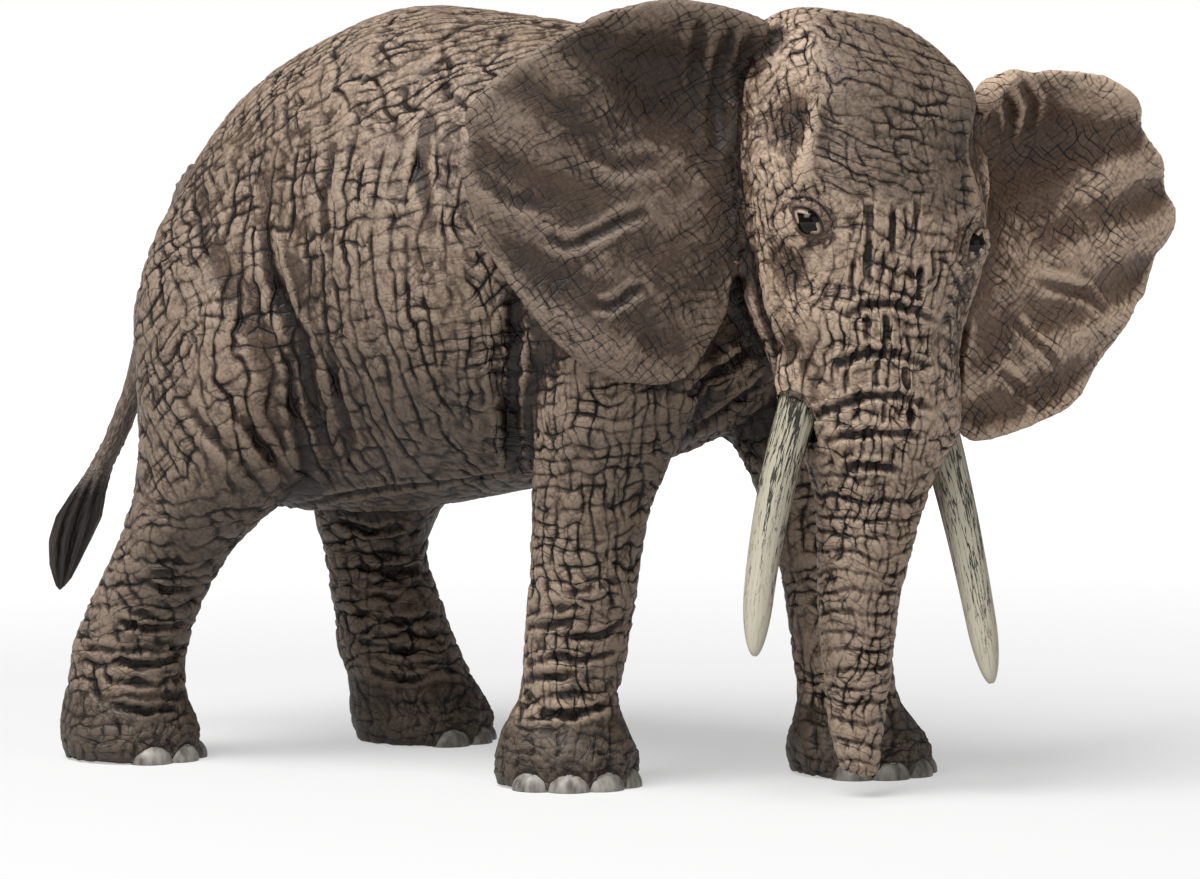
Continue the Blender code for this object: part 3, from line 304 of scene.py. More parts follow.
def crease(route, width, depth, lip=0.35, mirror=None):
    picked = [pick(x, y) for x, y in route]
    lines = [picked]
    if mirror:
        lines.append(across(picked, mirror))
    for line in lines:
        cut([place for place, _ in line], [normal for _, normal in line], width, depth, lip)


def cut(places, facings, width, depth, lip):  # a groove with a lip on either side, which tapers to its ends
    places, toward = np.array(places), unit(np.mean(facings, axis=0))
    low, high = places.min(axis=0) - 4 * width, places.max(axis=0) + 4 * width
    near = np.flatnonzero(np.all((points > low) & (points < high), axis=1))
    best, along = np.full(len(near), 1e9), np.zeros(len(near))
    for k in range(len(places) - 1):
        step = places[k + 1] - places[k]
        t = np.clip((points[near] - places[k]) @ step / (step @ step), 0, 1)
        gap = np.linalg.norm(points[near] - places[k] - t[:, None] * step, axis=1)
        along = np.where(gap < best, (k + t) / (len(places) - 1), along)
        best = np.minimum(best, gap)
    taper = np.sqrt(np.clip(4 * along * (1 - along), 0, 1)) * 0.8 + 0.2
    shape = -depth * np.exp(-((best / width) ** 2))
    shape += depth * lip * np.exp(-(((best - 2 * width) / width) ** 2))
    lift[near] += shape * taper * fade(0.0, 0.5, normals[near] @ toward)


def settle():
    global points, normals
    points = points + normals * lift[:, None]
    lift[:] = 0
    normals = pointNormals(points)


def ease(x, y, reach, times):  # rubs the clay smooth round a place
    global points, normals
    near = np.exp(-(((points - pick(x, y)[0]) / reach) ** 2).sum(axis=1))[:, None]
    points = points + near * (blurredPoints(points, times) - points)
    normals = pointNormals(points)


print("sculpt")
ease(986, 152, 3.2, 160)
ease(1041, 75, 2.2, 60)
# Flank: folds behind the front leg, at the groin and down the hollow between thigh and ribs
swell(272, 295, 4.5, -0.7, mirror="body")
swell(298, 350, 4.5, -0.7, mirror="body")
flankFolds = [
    ([(516, 296), (513, 340), (510, 385), (511, 430), (516, 470)], 0.8, 0.9),
    ([(500, 330), (497, 370), (498, 410)], 0.6, 0.6),
    ([(296, 506), (340, 497), (400, 488), (470, 480), (524, 470)], 0.6, 0.5),
    ([(262, 225), (268, 270), (280, 310), (298, 340), (309, 392), (321, 445)], 0.9, 0.8),
    ([(285, 330), (292, 380), (300, 430), (308, 470)], 0.7, 0.5),
    ([(240, 415), (262, 448), (290, 478)], 0.7, 0.5),
    ([(330, 350), (338, 400), (352, 450)], 0.7, 0.4),
    ([(180, 395), (215, 440), (262, 485)], 0.7, 0.4),
    ([(330, 150), (322, 200), (330, 260)], 0.8, 0.35),
    ([(430, 110), (420, 170), (432, 235)], 0.8, 0.3),
]
for route, width, depth in flankFolds:
    crease(route, width, depth, lip=0.5, mirror="body")

# Legs: folds across the hock, the wrist and the ankle, and the chest's folds behind the right tusk
legFolds = [
    ([(118, 560), (160, 574), (214, 562)], 0.45),
    ([(149, 585), (172, 591), (196, 588)], 0.7),
    ([(96, 606), (140, 614), (192, 606)], 0.4),
    ([(120, 622), (150, 630), (184, 624)], 1.0),
    ([(84, 645), (112, 652), (150, 648)], 0.4),
    ([(112, 660), (144, 665), (180, 655)], 1.1),
    ([(104, 678), (140, 684), (178, 680)], 0.6),
    ([(114, 706), (146, 712), (176, 709)], 1.1),
    ([(340, 522), (370, 532), (402, 528)], 0.8),
    ([(360, 566), (392, 574), (420, 568)], 0.9),
    ([(352, 592), (392, 598), (436, 590)], 0.5),
    ([(356, 612), (400, 623), (436, 616)], 0.8),
    ([(362, 642), (405, 650), (446, 642)], 0.7),
    ([(372, 672), (412, 680), (456, 670)], 0.6),
    ([(529, 594), (575, 592), (618, 581)], 0.6),
    ([(528, 612), (560, 608), (612, 602)], 0.35),
    ([(527, 627), (550, 626), (570, 623)], 0.6),
    ([(574, 638), (600, 636), (622, 622)], 0.8),
    ([(527, 664), (559, 656), (580, 661), (614, 652)], 0.8),
    ([(527, 678), (550, 677), (572, 675)], 0.6),
    ([(526, 696), (570, 694), (612, 683)], 0.7),
    ([(541, 713), (572, 716), (606, 705)], 1.1),
]
for route, depth in legFolds:
    crease(route, 0.42, depth, lip=0.35)
for route in ([(690, 395), (725, 372), (758, 350)], [(700, 428), (735, 405), (764, 380)]):
    crease(route, 0.9, 0.9)

# Feet: a recess round each toenail, and finer folds that arch over it
nails = {"width": 5.2, "thickness": 4.0, "height": 4.4, "level": 0.1, "spread": 36.0, "proud": 0.2}
nailBed = {"level": 1.2, "reach": 2.1, "depth": 0.75}
feet = {
    "leg_front_right": {"count": 4, "ahead": 17.0, "left": -12.5, "turn": 40.0, "foot": 17.8},
    "leg_front_left": {"count": 4, "ahead": 42.0, "left": 14.8, "turn": 18.0, "foot": 17.8},
    "leg_rear_right": {"count": 3, "ahead": -42.2, "left": -16.9, "turn": 0.0, "foot": 18.0},
    "leg_rear_left": {"count": 3, "ahead": -20.5, "left": 16.0, "turn": -5.0, "foot": 18.0},
}
nailFolds = [  # half width of the arch, width and depth of the fold, its lip
    (2.3, 0.5, 0.6, 0.0),
    (3.4, 0.38, 0.3, 0.6),
    (4.5, 0.38, 0.22, 0.6),
]
for foot in feet.values():
    middle = np.array([foot["left"] - animal["centreLeft"], animal["centreAhead"] - foot["ahead"], 0])
    for k in range(foot["count"]):
        angle = math.radians((k - (foot["count"] - 1) / 2) * nails["spread"] - foot["turn"])
        outward = np.array([math.sin(angle), -math.cos(angle), 0])
        aside = np.array([math.cos(angle), math.sin(angle), 0])
        rim = middle + outward * foot["foot"] / 2
        bed = skinTree.find_nearest(Vector(rim + np.array([0, 0, nailBed["level"]])))[0]
        gap = (points - np.array(bed)) / nailBed["reach"]
        lift[:] -= nailBed["depth"] * np.exp(-(gap**2).sum(axis=1)) * fade(-0.2, 0.4, normals @ outward)
        for half, width, depth, lip in nailFolds:
            arch = []
            for t in np.linspace(0, math.pi, 13):
                spot = rim + aside * half * math.cos(t)
                spot[2] = nails["level"] + (half + 0.3) * math.sin(t)
                arch.append(skinTree.find_nearest(Vector(spot))[0])
            cut(arch, [outward], width, depth, lip)
settle()

# Head: hollow temples, the ridge over the eye, cheek and jaw, lids, and folds across the trunk's root
swell(790, 120, 4.6, -1.6, mirror="head")
swell(784, 268, 3.4, -0.7, mirror="head")
swell(845, 75, 5.0, 0.5, mirror="head")
crease([(816, 92), (808, 130), (802, 165), (803, 192)], 1.3, -0.8, lip=0, mirror="head")
crease([(748, 250), (762, 320), (786, 400)], 1.1, 0.7, mirror="head")
headFolds = [
    ([(853, 262), (852, 280), (853, 296)], 0.27, 0.5),
    ([(869, 205), (868, 240), (870, 285)], 0.3, 0.45),
    ([(893, 205), (892, 230), (893, 252)], 0.27, 0.35),
    ([(916, 200), (917, 212), (916, 224)], 0.27, 0.4),
    ([(921, 268), (922, 285), (921, 301)], 0.3, 0.8),
    ([(934, 251), (934, 262), (935, 276)], 0.27, 0.45),
    ([(847, 316), (862, 307), (879, 303), (900, 306), (934, 320)], 0.42, 0.7),
    ([(886, 313), (887, 330), (886, 349)], 0.3, 0.8),
    ([(866, 312), (867, 326), (866, 340)], 0.27, 0.6),
    ([(836, 367), (847, 360), (866, 353), (895, 353), (929, 366)], 0.42, 0.7),
    ([(905, 366), (905, 377), (907, 389)], 0.3, 0.7),
    ([(876, 358), (877, 375), (876, 393)], 0.27, 0.4),
    ([(845, 366), (846, 380), (844, 396)], 0.27, 0.4),
    ([(800, 421), (815, 416), (845, 403), (870, 396), (899, 396), (932, 409)], 0.42, 0.65),
    ([(911, 407), (912, 416), (911, 426)], 0.3, 0.7),
    ([(884, 400), (884, 412), (883, 426)], 0.27, 0.4),
    ([(822, 442), (847, 435), (874, 433), (906, 434), (922, 439)], 0.42, 0.6),
    ([(843, 471), (856, 466), (877, 467), (897, 471)], 0.42, 0.7),
]
for route, width, depth in headFolds:
    crease(route, width, depth, lip=0.4)
# Ears: folds at the root, two lapped folds and the hollow on the right one, long folds on the left one
earFolds = [
    ([(735, 25), (722, 60), (715, 100), (722, 150)], 0.8, 0.35),
    ([(752, 30), (740, 70), (732, 120), (737, 180)], 0.7, 0.35),
    ([(700, 20), (698, 60), (700, 110)], 0.7, 0.3),
    ([(550, 237), (568, 246), (583, 240), (603, 231), (619, 222), (644, 212)], 0.55, 0.5),
    ([(593, 304), (608, 307), (621, 301), (629, 293), (642, 288)], 0.5, 0.45),
    ([(590, 150), (620, 165), (660, 160)], 0.8, 0.3),
    ([(480, 180), (510, 200), (545, 205)], 0.8, 0.3),
    ([(1041, 282), (1087, 294), (1106, 309)], 0.6, 0.45),
    ([(1014, 321), (1038, 343), (1057, 364)], 0.55, 0.45),
    ([(1000, 370), (1022, 390), (1040, 405)], 0.55, 0.35),
    ([(1003, 88), (1014, 120), (1010, 160)], 0.6, 0.5),
    ([(1022, 82), (1034, 108), (1030, 140)], 0.6, 0.4),
]
for route, width, depth in earFolds:
    crease(route, width, depth, lip=0.5)
for x, y in ((807, 222), (980, 243)):
    swell(x, y, 2.2, -0.8)
swell(962, 98, 4.0, 1.4)
swell(986, 92, 3.0, 1.0)
swell(652, 82, 5.5, -1.1)
swell(1040, 150, 6.5, -1.2)
swell(520, 130, 6.0, 0.5)
swell(585, 190, 5.0, -0.4)
swell(610, 340, 5.0, 0.5)
swell(1100, 200, 6.0, 0.5)
settle()

# Regions of the hide, which carry unlike wrinkles, as soft weights that sum to one
headWeight = blurred((owner == skinNodes.index("head")).astype(float), 50)
earWeights = {
    name: blurred((owner == skinNodes.index(name)).astype(float), 25) for name in ("ear_right", "ear_left")
}
hind = fade(3, -4, ahead)
lowFoot = fade(9.5, 6.5, up)
bodyWeight = np.clip(1 - headWeight - earWeights["ear_right"] - earWeights["ear_left"], 0, 1)
front = (1 - hind) * fade(60, 50, up) * fade(5, 9, ahead)
rib = fade(-30, -20, ahead) * fade(14, 8, ahead) * fade(26, 32, up) * fade(84, 70, up)
back = fade(70, 82, up)
weights = {
    "foot": bodyWeight * lowFoot,
    "hock": bodyWeight * hind * fade(38, 28, up) * (1 - lowFoot),
    "grid": bodyWeight * front * (1 - lowFoot),
    "flank": bodyWeight * rib * (1 - front) * (1 - hind * fade(38, 28, up)) * (1 - back),
    "back": bodyWeight * back * (1 - front),
    "trunk": headWeight * fade(-24, -32, rise),
    "nose": headWeight * fade(5, 0, rise) * fade(-32, -24, rise) * fade(9, 6, abs(side)) * fade(2, 6, forward),
    "brow": headWeight * fade(1, 5, rise) * fade(12, 8, abs(side)) * fade(0, 6, forward),
    "earRight": earWeights["ear_right"],
    "earLeft": earWeights["ear_left"],
}
taken = sum(weights.values())
weights["cheek"] = np.clip(headWeight - weights["trunk"] - weights["nose"] - weights["brow"], 0, 1)
weights["rump"] = np.clip(1 - taken - weights["cheek"], 0, 1)
total = sum(weights.values())
weights = {name: weight / total for name, weight in weights.items()}

# Wrinkles: each region has a coarse and a fine net of cracks and two crossing sets of broken lines. A layer
# has its directions, the size of its cells in mm, how deep it is cut and how dark the wash lies in it. The
# cell of a set of lines is the distance between them and twice the length of a break. The trunk has rings too
def facing(x, y, z):  # axes whose first one looks along a direction of the body
    return Vector((x, y, z)).to_track_quat("X", "Z").to_matrix().transposed()


def headFacing(sideBy, forwardBy, upBy):
    return facing(*(headSide * sideBy + headForward * forwardBy + headUp * upBy))


def earFacing(sideSign, sweep, outBy, upBy):
    swept = math.radians(sweep)
    outward = headSide * sideSign * math.cos(swept) - headForward * math.sin(swept)
    return facing(*(outward * outBy + headUp * upBy))


layerKinds = ("coarse", "fine", "long", "cross")
hideRegions = {  # tone, which is the paint's tone with painted light and shade, axes, and for each layer: direction, cell, depth, wash
    "rump": (
        0.88,
        facing,
        ((0.3, -0.8, 0.5), (2.6, 4.2, 3.4), 0.14, 0.4),
        ((0.3, 0.6, 0.7), (1.2, 1.7, 1.4), 0.05, 0.32),
        ((0.2, -0.85, 0.5), (2.0, 5.0, 5.0), 0.28, 0.9),
        ((0.25, 0.64, 0.75), (1.9, 4.0, 4.0), 0.22, 0.8),
    ),
    "back": (
        1.1,
        facing,
        ((0.4, 0.6, 0.7), (2.1, 3.4, 3.0), 0.10, 0.3),
        ((-0.4, 0.6, 0.7), (1.1, 1.6, 1.4), 0.05, 0.32),
        ((0.45, 0.55, 0.7), (1.6, 4.0, 4.0), 0.20, 0.75),
        ((-0.5, -0.4, 0.8), (1.8, 4.0, 4.0), 0.20, 0.75),
    ),
    "flank": (
        1.0,
        facing,
        ((0, -1, 0.12), (2.4, 4.6, 4.0), 0.08, 0.2),
        ((0, -0.9, 0.4), (1.2, 2.0, 1.6), 0.05, 0.32),
        ((0, -1, 0.1), (2.1, 7.0, 7.0), 0.30, 0.95),
        ((0, 0.22, 0.97), (2.3, 3.2, 3.2), 0.15, 0.65),
    ),
    "hock": (
        0.8,
        facing,
        ((0, 0.1, 1), (2.3, 3.4, 3.4), 0.14, 0.4),
        ((0, 0.4, 0.9), (1.1, 1.5, 1.5), 0.05, 0.32),
        ((0, 0.15, 1), (1.8, 5.0, 5.0), 0.28, 0.9),
        ((0.3, -0.85, 0.4), (2.5, 3.4, 3.4), 0.20, 0.65),
    ),
    "grid": (
        1.08,
        facing,
        ((0.4, -0.9, 0.1), (2.3, 3.0, 3.0), 0.14, 0.35),
        ((0.1, 0.2, 0.9), (1.1, 1.5, 1.5), 0.05, 0.32),
        ((0, 0.1, 1), (1.7, 3.6, 3.6), 0.22, 0.85),
        ((0.5, -0.86, 0), (1.45, 4.6, 4.6), 0.24, 0.9),
    ),
    "foot": (
        0.36,
        facing,
        ((1, 0, 0), (2.4, 2.4, 2.6), 0.10, 0.3),
        ((1, 0, 0), (1.3, 1.3, 1.1), 0.05, 0.4),
        ((0, 0, 1), (1.7, 4.0, 4.0), 0.14, 0.5),
        ((0.5, -0.86, 0), (2.2, 3.0, 3.0), 0.12, 0.45),
    ),
    "trunk": (
        1.2,
        headFacing,
        ((1, 0, 0), (1.9, 3.0, 2.6), 0.12, 0.35),
        ((0, 0, 1), (0.9, 1.3, 1.3), 0.05, 0.32),
        ((1, 0.2, 0), (1.3, 2.2, 2.2), 0.22, 0.8),
        ((0.1, 0, 1), (1.15, 3.2, 3.2), 0.12, 0.6),
    ),
    "nose": (
        1.4,
        headFacing,
        ((1, 0, 0), (2.1, 4.0, 3.6), 0.14, 0.4),
        ((0, 0, 1), (1.0, 1.4, 1.4), 0.05, 0.32),
        ((1, 0, 0), (1.4, 4.0, 4.0), 0.30, 0.95),
        ((0.05, 0, 1), (1.7, 2.6, 2.6), 0.16, 0.6),
    ),
    "brow": (
        0.64,
        headFacing,
        ((0, 0, 1), (1.6, 4.4, 3.6), 0.08, 0.25),
        ((0.7, 0, 0.7), (1.0, 2.0, 2.0), 0.04, 0.32),
        ((0.1, 0.2, 1), (1.3, 5.0, 5.0), 0.18, 0.9),
        ((0.9, 0, 0.3), (1.7, 2.4, 2.4), 0.12, 0.65),
    ),
    "cheek": (
        1.5,
        headFacing,
        ((0.7, 0.3, 0.5), (1.7, 3.2, 3.0), 0.08, 0.25),
        ((-0.4, 0.3, 0.8), (0.9, 1.4, 1.4), 0.05, 0.4),
        ((0.8, 0.5, 0.35), (1.15, 3.0, 3.0), 0.15, 0.85),
        ((-0.5, -0.4, 0.7), (1.6, 2.2, 2.2), 0.12, 0.6),
    ),
    "earRight": (
        0.66,
        earFacing,
        ((-1, 4, 0.7, 0.7), (2.6, 5.0, 5.0), 0.04, 0.12),
        ((-1, 4, -0.5, 0.8), (1.1, 3.0, 3.0), 0.02, 0.2),
        ((-1, 4, 0.62, 0.78), (0.95, 3.0, 3.0), 0.06, 0.75),
        ((-1, 4, -0.7, 0.7), (1.1, 2.6, 2.6), 0.05, 0.65),
    ),
    "earLeft": (
        1.75,
        earFacing,
        ((1, 18, 0.7, 0.7), (2.6, 5.0, 5.0), 0.04, 0.12),
        ((1, 18, -0.5, 0.8), (1.1, 3.0, 3.0), 0.02, 0.2),
        ((1, 18, 0.5, 0.87), (0.95, 3.2, 3.2), 0.06, 0.75),
        ((1, 18, -0.8, 0.6), (1.1, 2.6, 2.6), 0.05, 0.65),
    ),
}
wrinkles = {}
for name, (tone, axes, *layers) in hideRegions.items():
    wrinkles[name] = {"tone": tone}
    for kind, (way, cell, depth, wash) in zip(layerKinds, layers):
        wrinkles[name][kind] = {"turn": axes(*way).to_euler(), "cell": cell, "depth": depth, "wash": wash}
wrinkles["trunk"]["fold"] = {"spacing": 2.2, "depth": 0.26, "wash": 0.4}
cracks = {"coarse": {"random": 0.9, "edge": 0.07}, "fine": {"random": 1.0, "edge": 0.1}}
lines = {"width": 0.11, "valley": 0.25, "wander": 1.25, "weakest": 0.35, "strongest": 0.5}
bend = {"scale": 0.11, "amount": 5.0, "detail": 3.0}
swinging = {"scale": 0.21, "low": 0.35, "high": 0.65, "weakest": 0.35, "strongest": 1.35}
lumpy = {"scale": 0.3, "amount": 0.3}


def crackNodes(tree, place, kind):  # how near a crack of the net runs, and the crack itself
    net = {"Vector": place, "Scale": 1.0, "Randomness": cracks[kind]["random"]}
    cells = addNode(tree, "TexVoronoi", net, out="Distance", feature="DISTANCE_TO_EDGE")
    limits = [cells, 0.0, cracks[kind]["edge"], 1.0, 0.0]
    return cells, addNode(tree, "MapRange", limits, interpolation_type="SMOOTHSTEP")


def lineNodes(tree, place, width):  # broken lines, one in each lane, that wander and thin out
    parts = addNode(tree, "SeparateXYZ", [place], out=None)
    lane = addNode(tree, "Math", [parts["X"]], operation="FLOOR")
    seed = addNode(tree, "Math", [lane, 7.31], operation="MULTIPLY")
    along = addNode(tree, "CombineXYZ", [seed, parts["Y"], parts["Z"]])
    chance = addNode(tree, "TexNoise", {"Vector": along, "Scale": 1.0, "Detail": 1.0}, out="Color")
    chance = addNode(tree, "SeparateXYZ", [chance], out=None)
    shift = [chance["Y"], lines["wander"], 0.5 - 0.5 * lines["wander"]]
    centre = addNode(tree, "Math", shift, operation="MULTIPLY_ADD")
    inLane = addNode(tree, "Math", [parts["X"]], operation="FRACT")
    gap = addNode(tree, "Math", [inLane, centre], operation="SUBTRACT")
    gap = addNode(tree, "Math", [gap], operation="ABSOLUTE")
    limits = [chance["X"], lines["weakest"], lines["strongest"], 0.0, 1.0]
    strength = addNode(tree, "MapRange", limits)
    broad = addNode(tree, "Math", [strength, width, 0.01], operation="MULTIPLY_ADD")
    limits = [gap, 0.0, broad, 1.0, 0.0]
    line = addNode(tree, "MapRange", limits, interpolation_type="SMOOTHSTEP")
    return addNode(tree, "Math", [line, strength], operation="MULTIPLY")


def foldNodes(tree, phase):  # one fold each time the phase passes a whole number
    part = addNode(tree, "Math", [phase], operation="FRACT")
    part = addNode(tree, "Math", [part, 0.5], operation="SUBTRACT")
    part = addNode(tree, "Math", [part], operation="ABSOLUTE")
    limits = [part, 0.32, 0.5, 0.0, 1.0]
    return addNode(tree, "MapRange", limits, interpolation_type="SMOOTHSTEP")


def newGroup(name, **sockets):  # a geometry group with named inputs, and what it is given
    tree = bpy.data.node_groups.new(name, "GeometryNodeTree")
    for label, kind in (("Geometry", "Geometry"), *sockets.items(), ("Paint", "Material")):
        tree.interface.new_socket(label, in_out="INPUT", socket_type="NodeSocket" + kind)
    tree.interface.new_socket("Geometry", in_out="OUTPUT", socket_type="NodeSocketGeometry")
    return tree, addNode(tree, "NodeGroupInput", out=None)


def newPaint(name, roughness, specular=0.5):  # a material, its nodes and its shader's inputs
    paint = bpy.data.materials.new(name)
    paint.use_nodes = True
    shader = paint.node_tree.nodes["Principled BSDF"]
    shader.inputs["Roughness"].default_value = roughness
    shader.inputs["Specular IOR Level"].default_value = specular
    return paint, paint.node_tree, shader.inputs


def storeAttribute(mesh, name, values, domain="POINT"):
    kind = "FLOAT" if values.ndim == 1 else "FLOAT_VECTOR"
    field = mesh.attributes.new(name, kind, domain)
    field.data.foreach_set("value" if kind == "FLOAT" else "vector", values.astype(np.float32).ravel())


def readAttribute(mesh, name, width):
    values = np.empty(len(mesh.vertices) * width)
    mesh.attributes[name].data.foreach_get("vector" if width > 1 else "value", values)
    return values.reshape(-1, width) if width > 1 else values


def hideTree():  # cuts the nets into the hide, and keeps the bent places for the paint
    tree, given = newGroup("hideRelief", Depth="Float", Lumps="Float")
    rest = addNode(tree, "GeometryNodeInputNamedAttribute", {"Name": "rest"}, data_type="FLOAT_VECTOR")
    noise = {"Vector": rest, "Scale": bend["scale"], "Detail": bend["detail"]}
    wander = addNode(tree, "TexNoise", noise, out="Color")
    wander = addNode(tree, "VectorMath", [wander, (0.5, 0.5, 0.5)], operation="SUBTRACT")
    wander = addNode(tree, "VectorMath", {0: wander, "Scale": bend["amount"]}, operation="SCALE")
    bent = addNode(tree, "VectorMath", [rest, wander], operation="ADD")
    swing = addNode(tree, "TexNoise", {"Vector": rest, "Scale": swinging["scale"], "Detail": 2.0})
    limits = [swinging[label] for label in ("low", "high", "weakest", "strongest")]
    swing = addNode(tree, "MapRange", [swing, *limits])
    kept = given["Geometry"]
    for label, value, kind in (("bent", bent, "FLOAT_VECTOR"), ("swing", swing, "FLOAT")):
        field = {"Geometry": kept, "Name": label, "Value": value}
        kept = addNode(tree, "GeometryNodeStoreNamedAttribute", field, data_type=kind)
    drop = 0.0
    for name, region in wrinkles.items():
        weight = addNode(tree, "GeometryNodeInputNamedAttribute", {"Name": name}, data_type="FLOAT")
        cut = 0.0
        for kind in layerKinds:
            cutIn = region[kind]
            turned = {"Vector": bent, "Rotation": cutIn["turn"]}
            turned = addNode(tree, "VectorRotate", turned, rotation_type="EULER_XYZ")
            per = [turned, tuple(1 / size for size in cutIn["cell"])]
            place = addNode(tree, "VectorMath", per, operation="MULTIPLY")
            if kind in cracks:
                cells, _ = crackNodes(tree, place, kind)
                limits = [cells, 0.0, 0.34, 1.0, 0.0]
                valley = addNode(tree, "MapRange", limits, interpolation_type="SMOOTHSTEP")
            else:
                valley = lineNodes(tree, place, lines["valley"])
            cut = addNode(tree, "Math", [valley, cutIn["depth"], cut], operation="MULTIPLY_ADD")
        if "fold" in region:
            fold = region["fold"]
            height = addNode(tree, "SeparateXYZ", [bent], out="Z")
            phase = addNode(tree, "Math", [height, fold["spacing"]], operation="DIVIDE")
            cut = addNode(tree, "Math", [foldNodes(tree, phase), fold["depth"], cut], operation="MULTIPLY_ADD")
        drop = addNode(tree, "Math", [cut, weight, drop], operation="MULTIPLY_ADD")
    drop = addNode(tree, "Math", [drop, swing], operation="MULTIPLY")
    lumps = addNode(tree, "TexNoise", {"Vector": rest, "Scale": lumpy["scale"], "Detail": 2.0})
    lumps = addNode(tree, "Math", [lumps, 0.5], operation="SUBTRACT")
    lumps = addNode(tree, "Math", [lumps, given["Lumps"]], operation="MULTIPLY")
    sunk = addNode(tree, "Math", [drop, given["Depth"]], operation="MULTIPLY")
    out = addNode(tree, "Math", [lumps, sunk], operation="SUBTRACT")
    normal = addNode(tree, "GeometryNodeInputNormal")
    offset = addNode(tree, "VectorMath", {0: normal, "Scale": out}, operation="SCALE")
    moved = addNode(tree, "GeometryNodeSetPosition", {"Geometry": kept, "Offset": offset})
    real = addNode(tree, "GeometryNodeRealizeInstances", [moved])
    painted = addNode(tree, "GeometryNodeSetMaterial", {"Geometry": real, "Material": given["Paint"]})
    addNode(tree, "NodeGroupOutput", [painted], None)
    return tree


def setInput(modifier, name, value):
    for socket in modifier.node_group.interface.items_tree:
        if socket.name == name and socket.in_out == "INPUT":
            modifier[socket.identifier] = value


# The hide's paint: a taupe coat, paler where a dry brush caught the ridges, black-brown wash in the cracks, and
# the same dark laid as painted shade in the broader hollows
hidePaint = {
    "dark": "#49392e",
    "mid": "#6b5747",
    "ridge": "#b39d89",
    "wash": "#150d09",
    "washAndShadeInHollows": 1.0,
    "ridgeShare": 0.8,
    "roughness": 0.52,
    "specular": 0.35,
    "bump": 0.7,
    "pores": -0.12,
    "blotchScale": 0.11,
    "poreScale": 2.4,
}


def paintHide(name):
    # Soft PVC under matt acrylic: satin, darker in the cracks than on the plates between them
    paint, tree, shader = newPaint(name, hidePaint["roughness"], hidePaint["specular"])
    rest, coarse, fine, long, cross = [
        addNode(tree, "Attribute", out="Vector", attribute_name=label)
        for label in ("rest", "coarse", "fine", "long", "cross")
    ]
    washes, depths, lineWashes, lineDepths = [
        addNode(tree, "SeparateXYZ", [addNode(tree, "Attribute", out="Vector", attribute_name=label)], None)
        for label in ("cutWash", "cutDepth", "lineWash", "lineDepth")
    ]
    fold, hollow, ridge, regionToneAndShade = [
        addNode(tree, "Attribute", out="Fac", attribute_name=label)
        for label in ("fold", "hollow", "ridge", "tone")
    ]
    cuts = [
        (crackNodes(tree, coarse, "coarse")[1], washes[0], depths[0]),
        (crackNodes(tree, fine, "fine")[1], washes[1], depths[1]),
        (foldNodes(tree, fold), washes[2], depths[2]),
        (lineNodes(tree, long, lines["width"]), lineWashes[0], lineDepths[0]),
        (lineNodes(tree, cross, lines["width"]), lineWashes[1], lineDepths[1]),
    ]
    wash, drop = 0.0, 0.0
    for cut, washPart, depthPart in cuts:
        wash = addNode(tree, "Math", [cut, washPart, wash], operation="MULTIPLY_ADD")
        drop = addNode(tree, "Math", [cut, depthPart, drop], operation="MULTIPLY_ADD")
    blotch = addNode(tree, "TexNoise", {"Vector": rest, "Scale": hidePaint["blotchScale"], "Detail": 4.0})
    pores = addNode(tree, "TexNoise", {"Vector": rest, "Scale": hidePaint["poreScale"], "Detail": 3.0})
    tone = addNode(tree, "Math", [blotch, pores], operation="ADD")
    tone = addNode(tree, "MapRange", [tone, 0.8, 1.25, 0.0, 1.0])
    coats = {0: tone, 6: linear(hidePaint["dark"]), 7: linear(hidePaint["mid"])}
    coat = addNode(tree, "Mix", coats, 2, data_type="RGBA")
    brushed = addNode(tree, "Math", [pores, ridge], operation="MULTIPLY")
    limits = [brushed, 0.05, 0.4, 0.0, hidePaint["ridgeShare"]]
    brushed = addNode(tree, "MapRange", limits)
    coat = addNode(tree, "Mix", {0: brushed, 6: coat, 7: linear(hidePaint["ridge"])}, 2, data_type="RGBA")
    # The region tone scales the coat: paint tone together with painted light and shade
    coat = addNode(tree, "VectorMath", {0: coat, "Scale": regionToneAndShade}, operation="SCALE")
    # Wash in the cracks and painted shade in the broader hollows darken the coat
    pooledWashAndShade = addNode(tree, "Math", [hollow, hidePaint["washAndShadeInHollows"]], operation="MULTIPLY")
    dark = addNode(tree, "Math", [wash, pooledWashAndShade], operation="ADD", use_clamp=True)
    coat = addNode(tree, "Mix", {0: dark, 6: coat, 7: linear(hidePaint["wash"])}, 2, data_type="RGBA")
    tree.links.new(coat, shader["Base Color"])
    height = addNode(tree, "Math", [pores, hidePaint["pores"], drop], operation="MULTIPLY_ADD")
    bump = {"Height": height, "Strength": hidePaint["bump"], "Distance": -mm}
    tree.links.new(addNode(tree, "Bump", bump), shader["Normal"])
    return paint


mesh = skin.data
mesh.vertices.foreach_set("co", (points * mm).astype(np.float32).ravel())
mesh.update()
storeAttribute(mesh, "rest", points)
for name, weight in weights.items():
    storeAttribute(mesh, name, weight)
relief = skin.modifiers.new("relief", "NODES")
relief.node_group = hideTree()
setInput(relief, "Depth", mm)
setInput(relief, "Lumps", lumpy["amount"] * mm)
setInput(relief, "Paint", bpy.data.materials.new("blank"))
baked(skin)
points, quads = meshArrays(skin.data)
rest, bent = readAttribute(skin.data, "rest", 3), readAttribute(skin.data, "bent", 3)
swing = readAttribute(skin.data, "swing", 1)
print("relief")

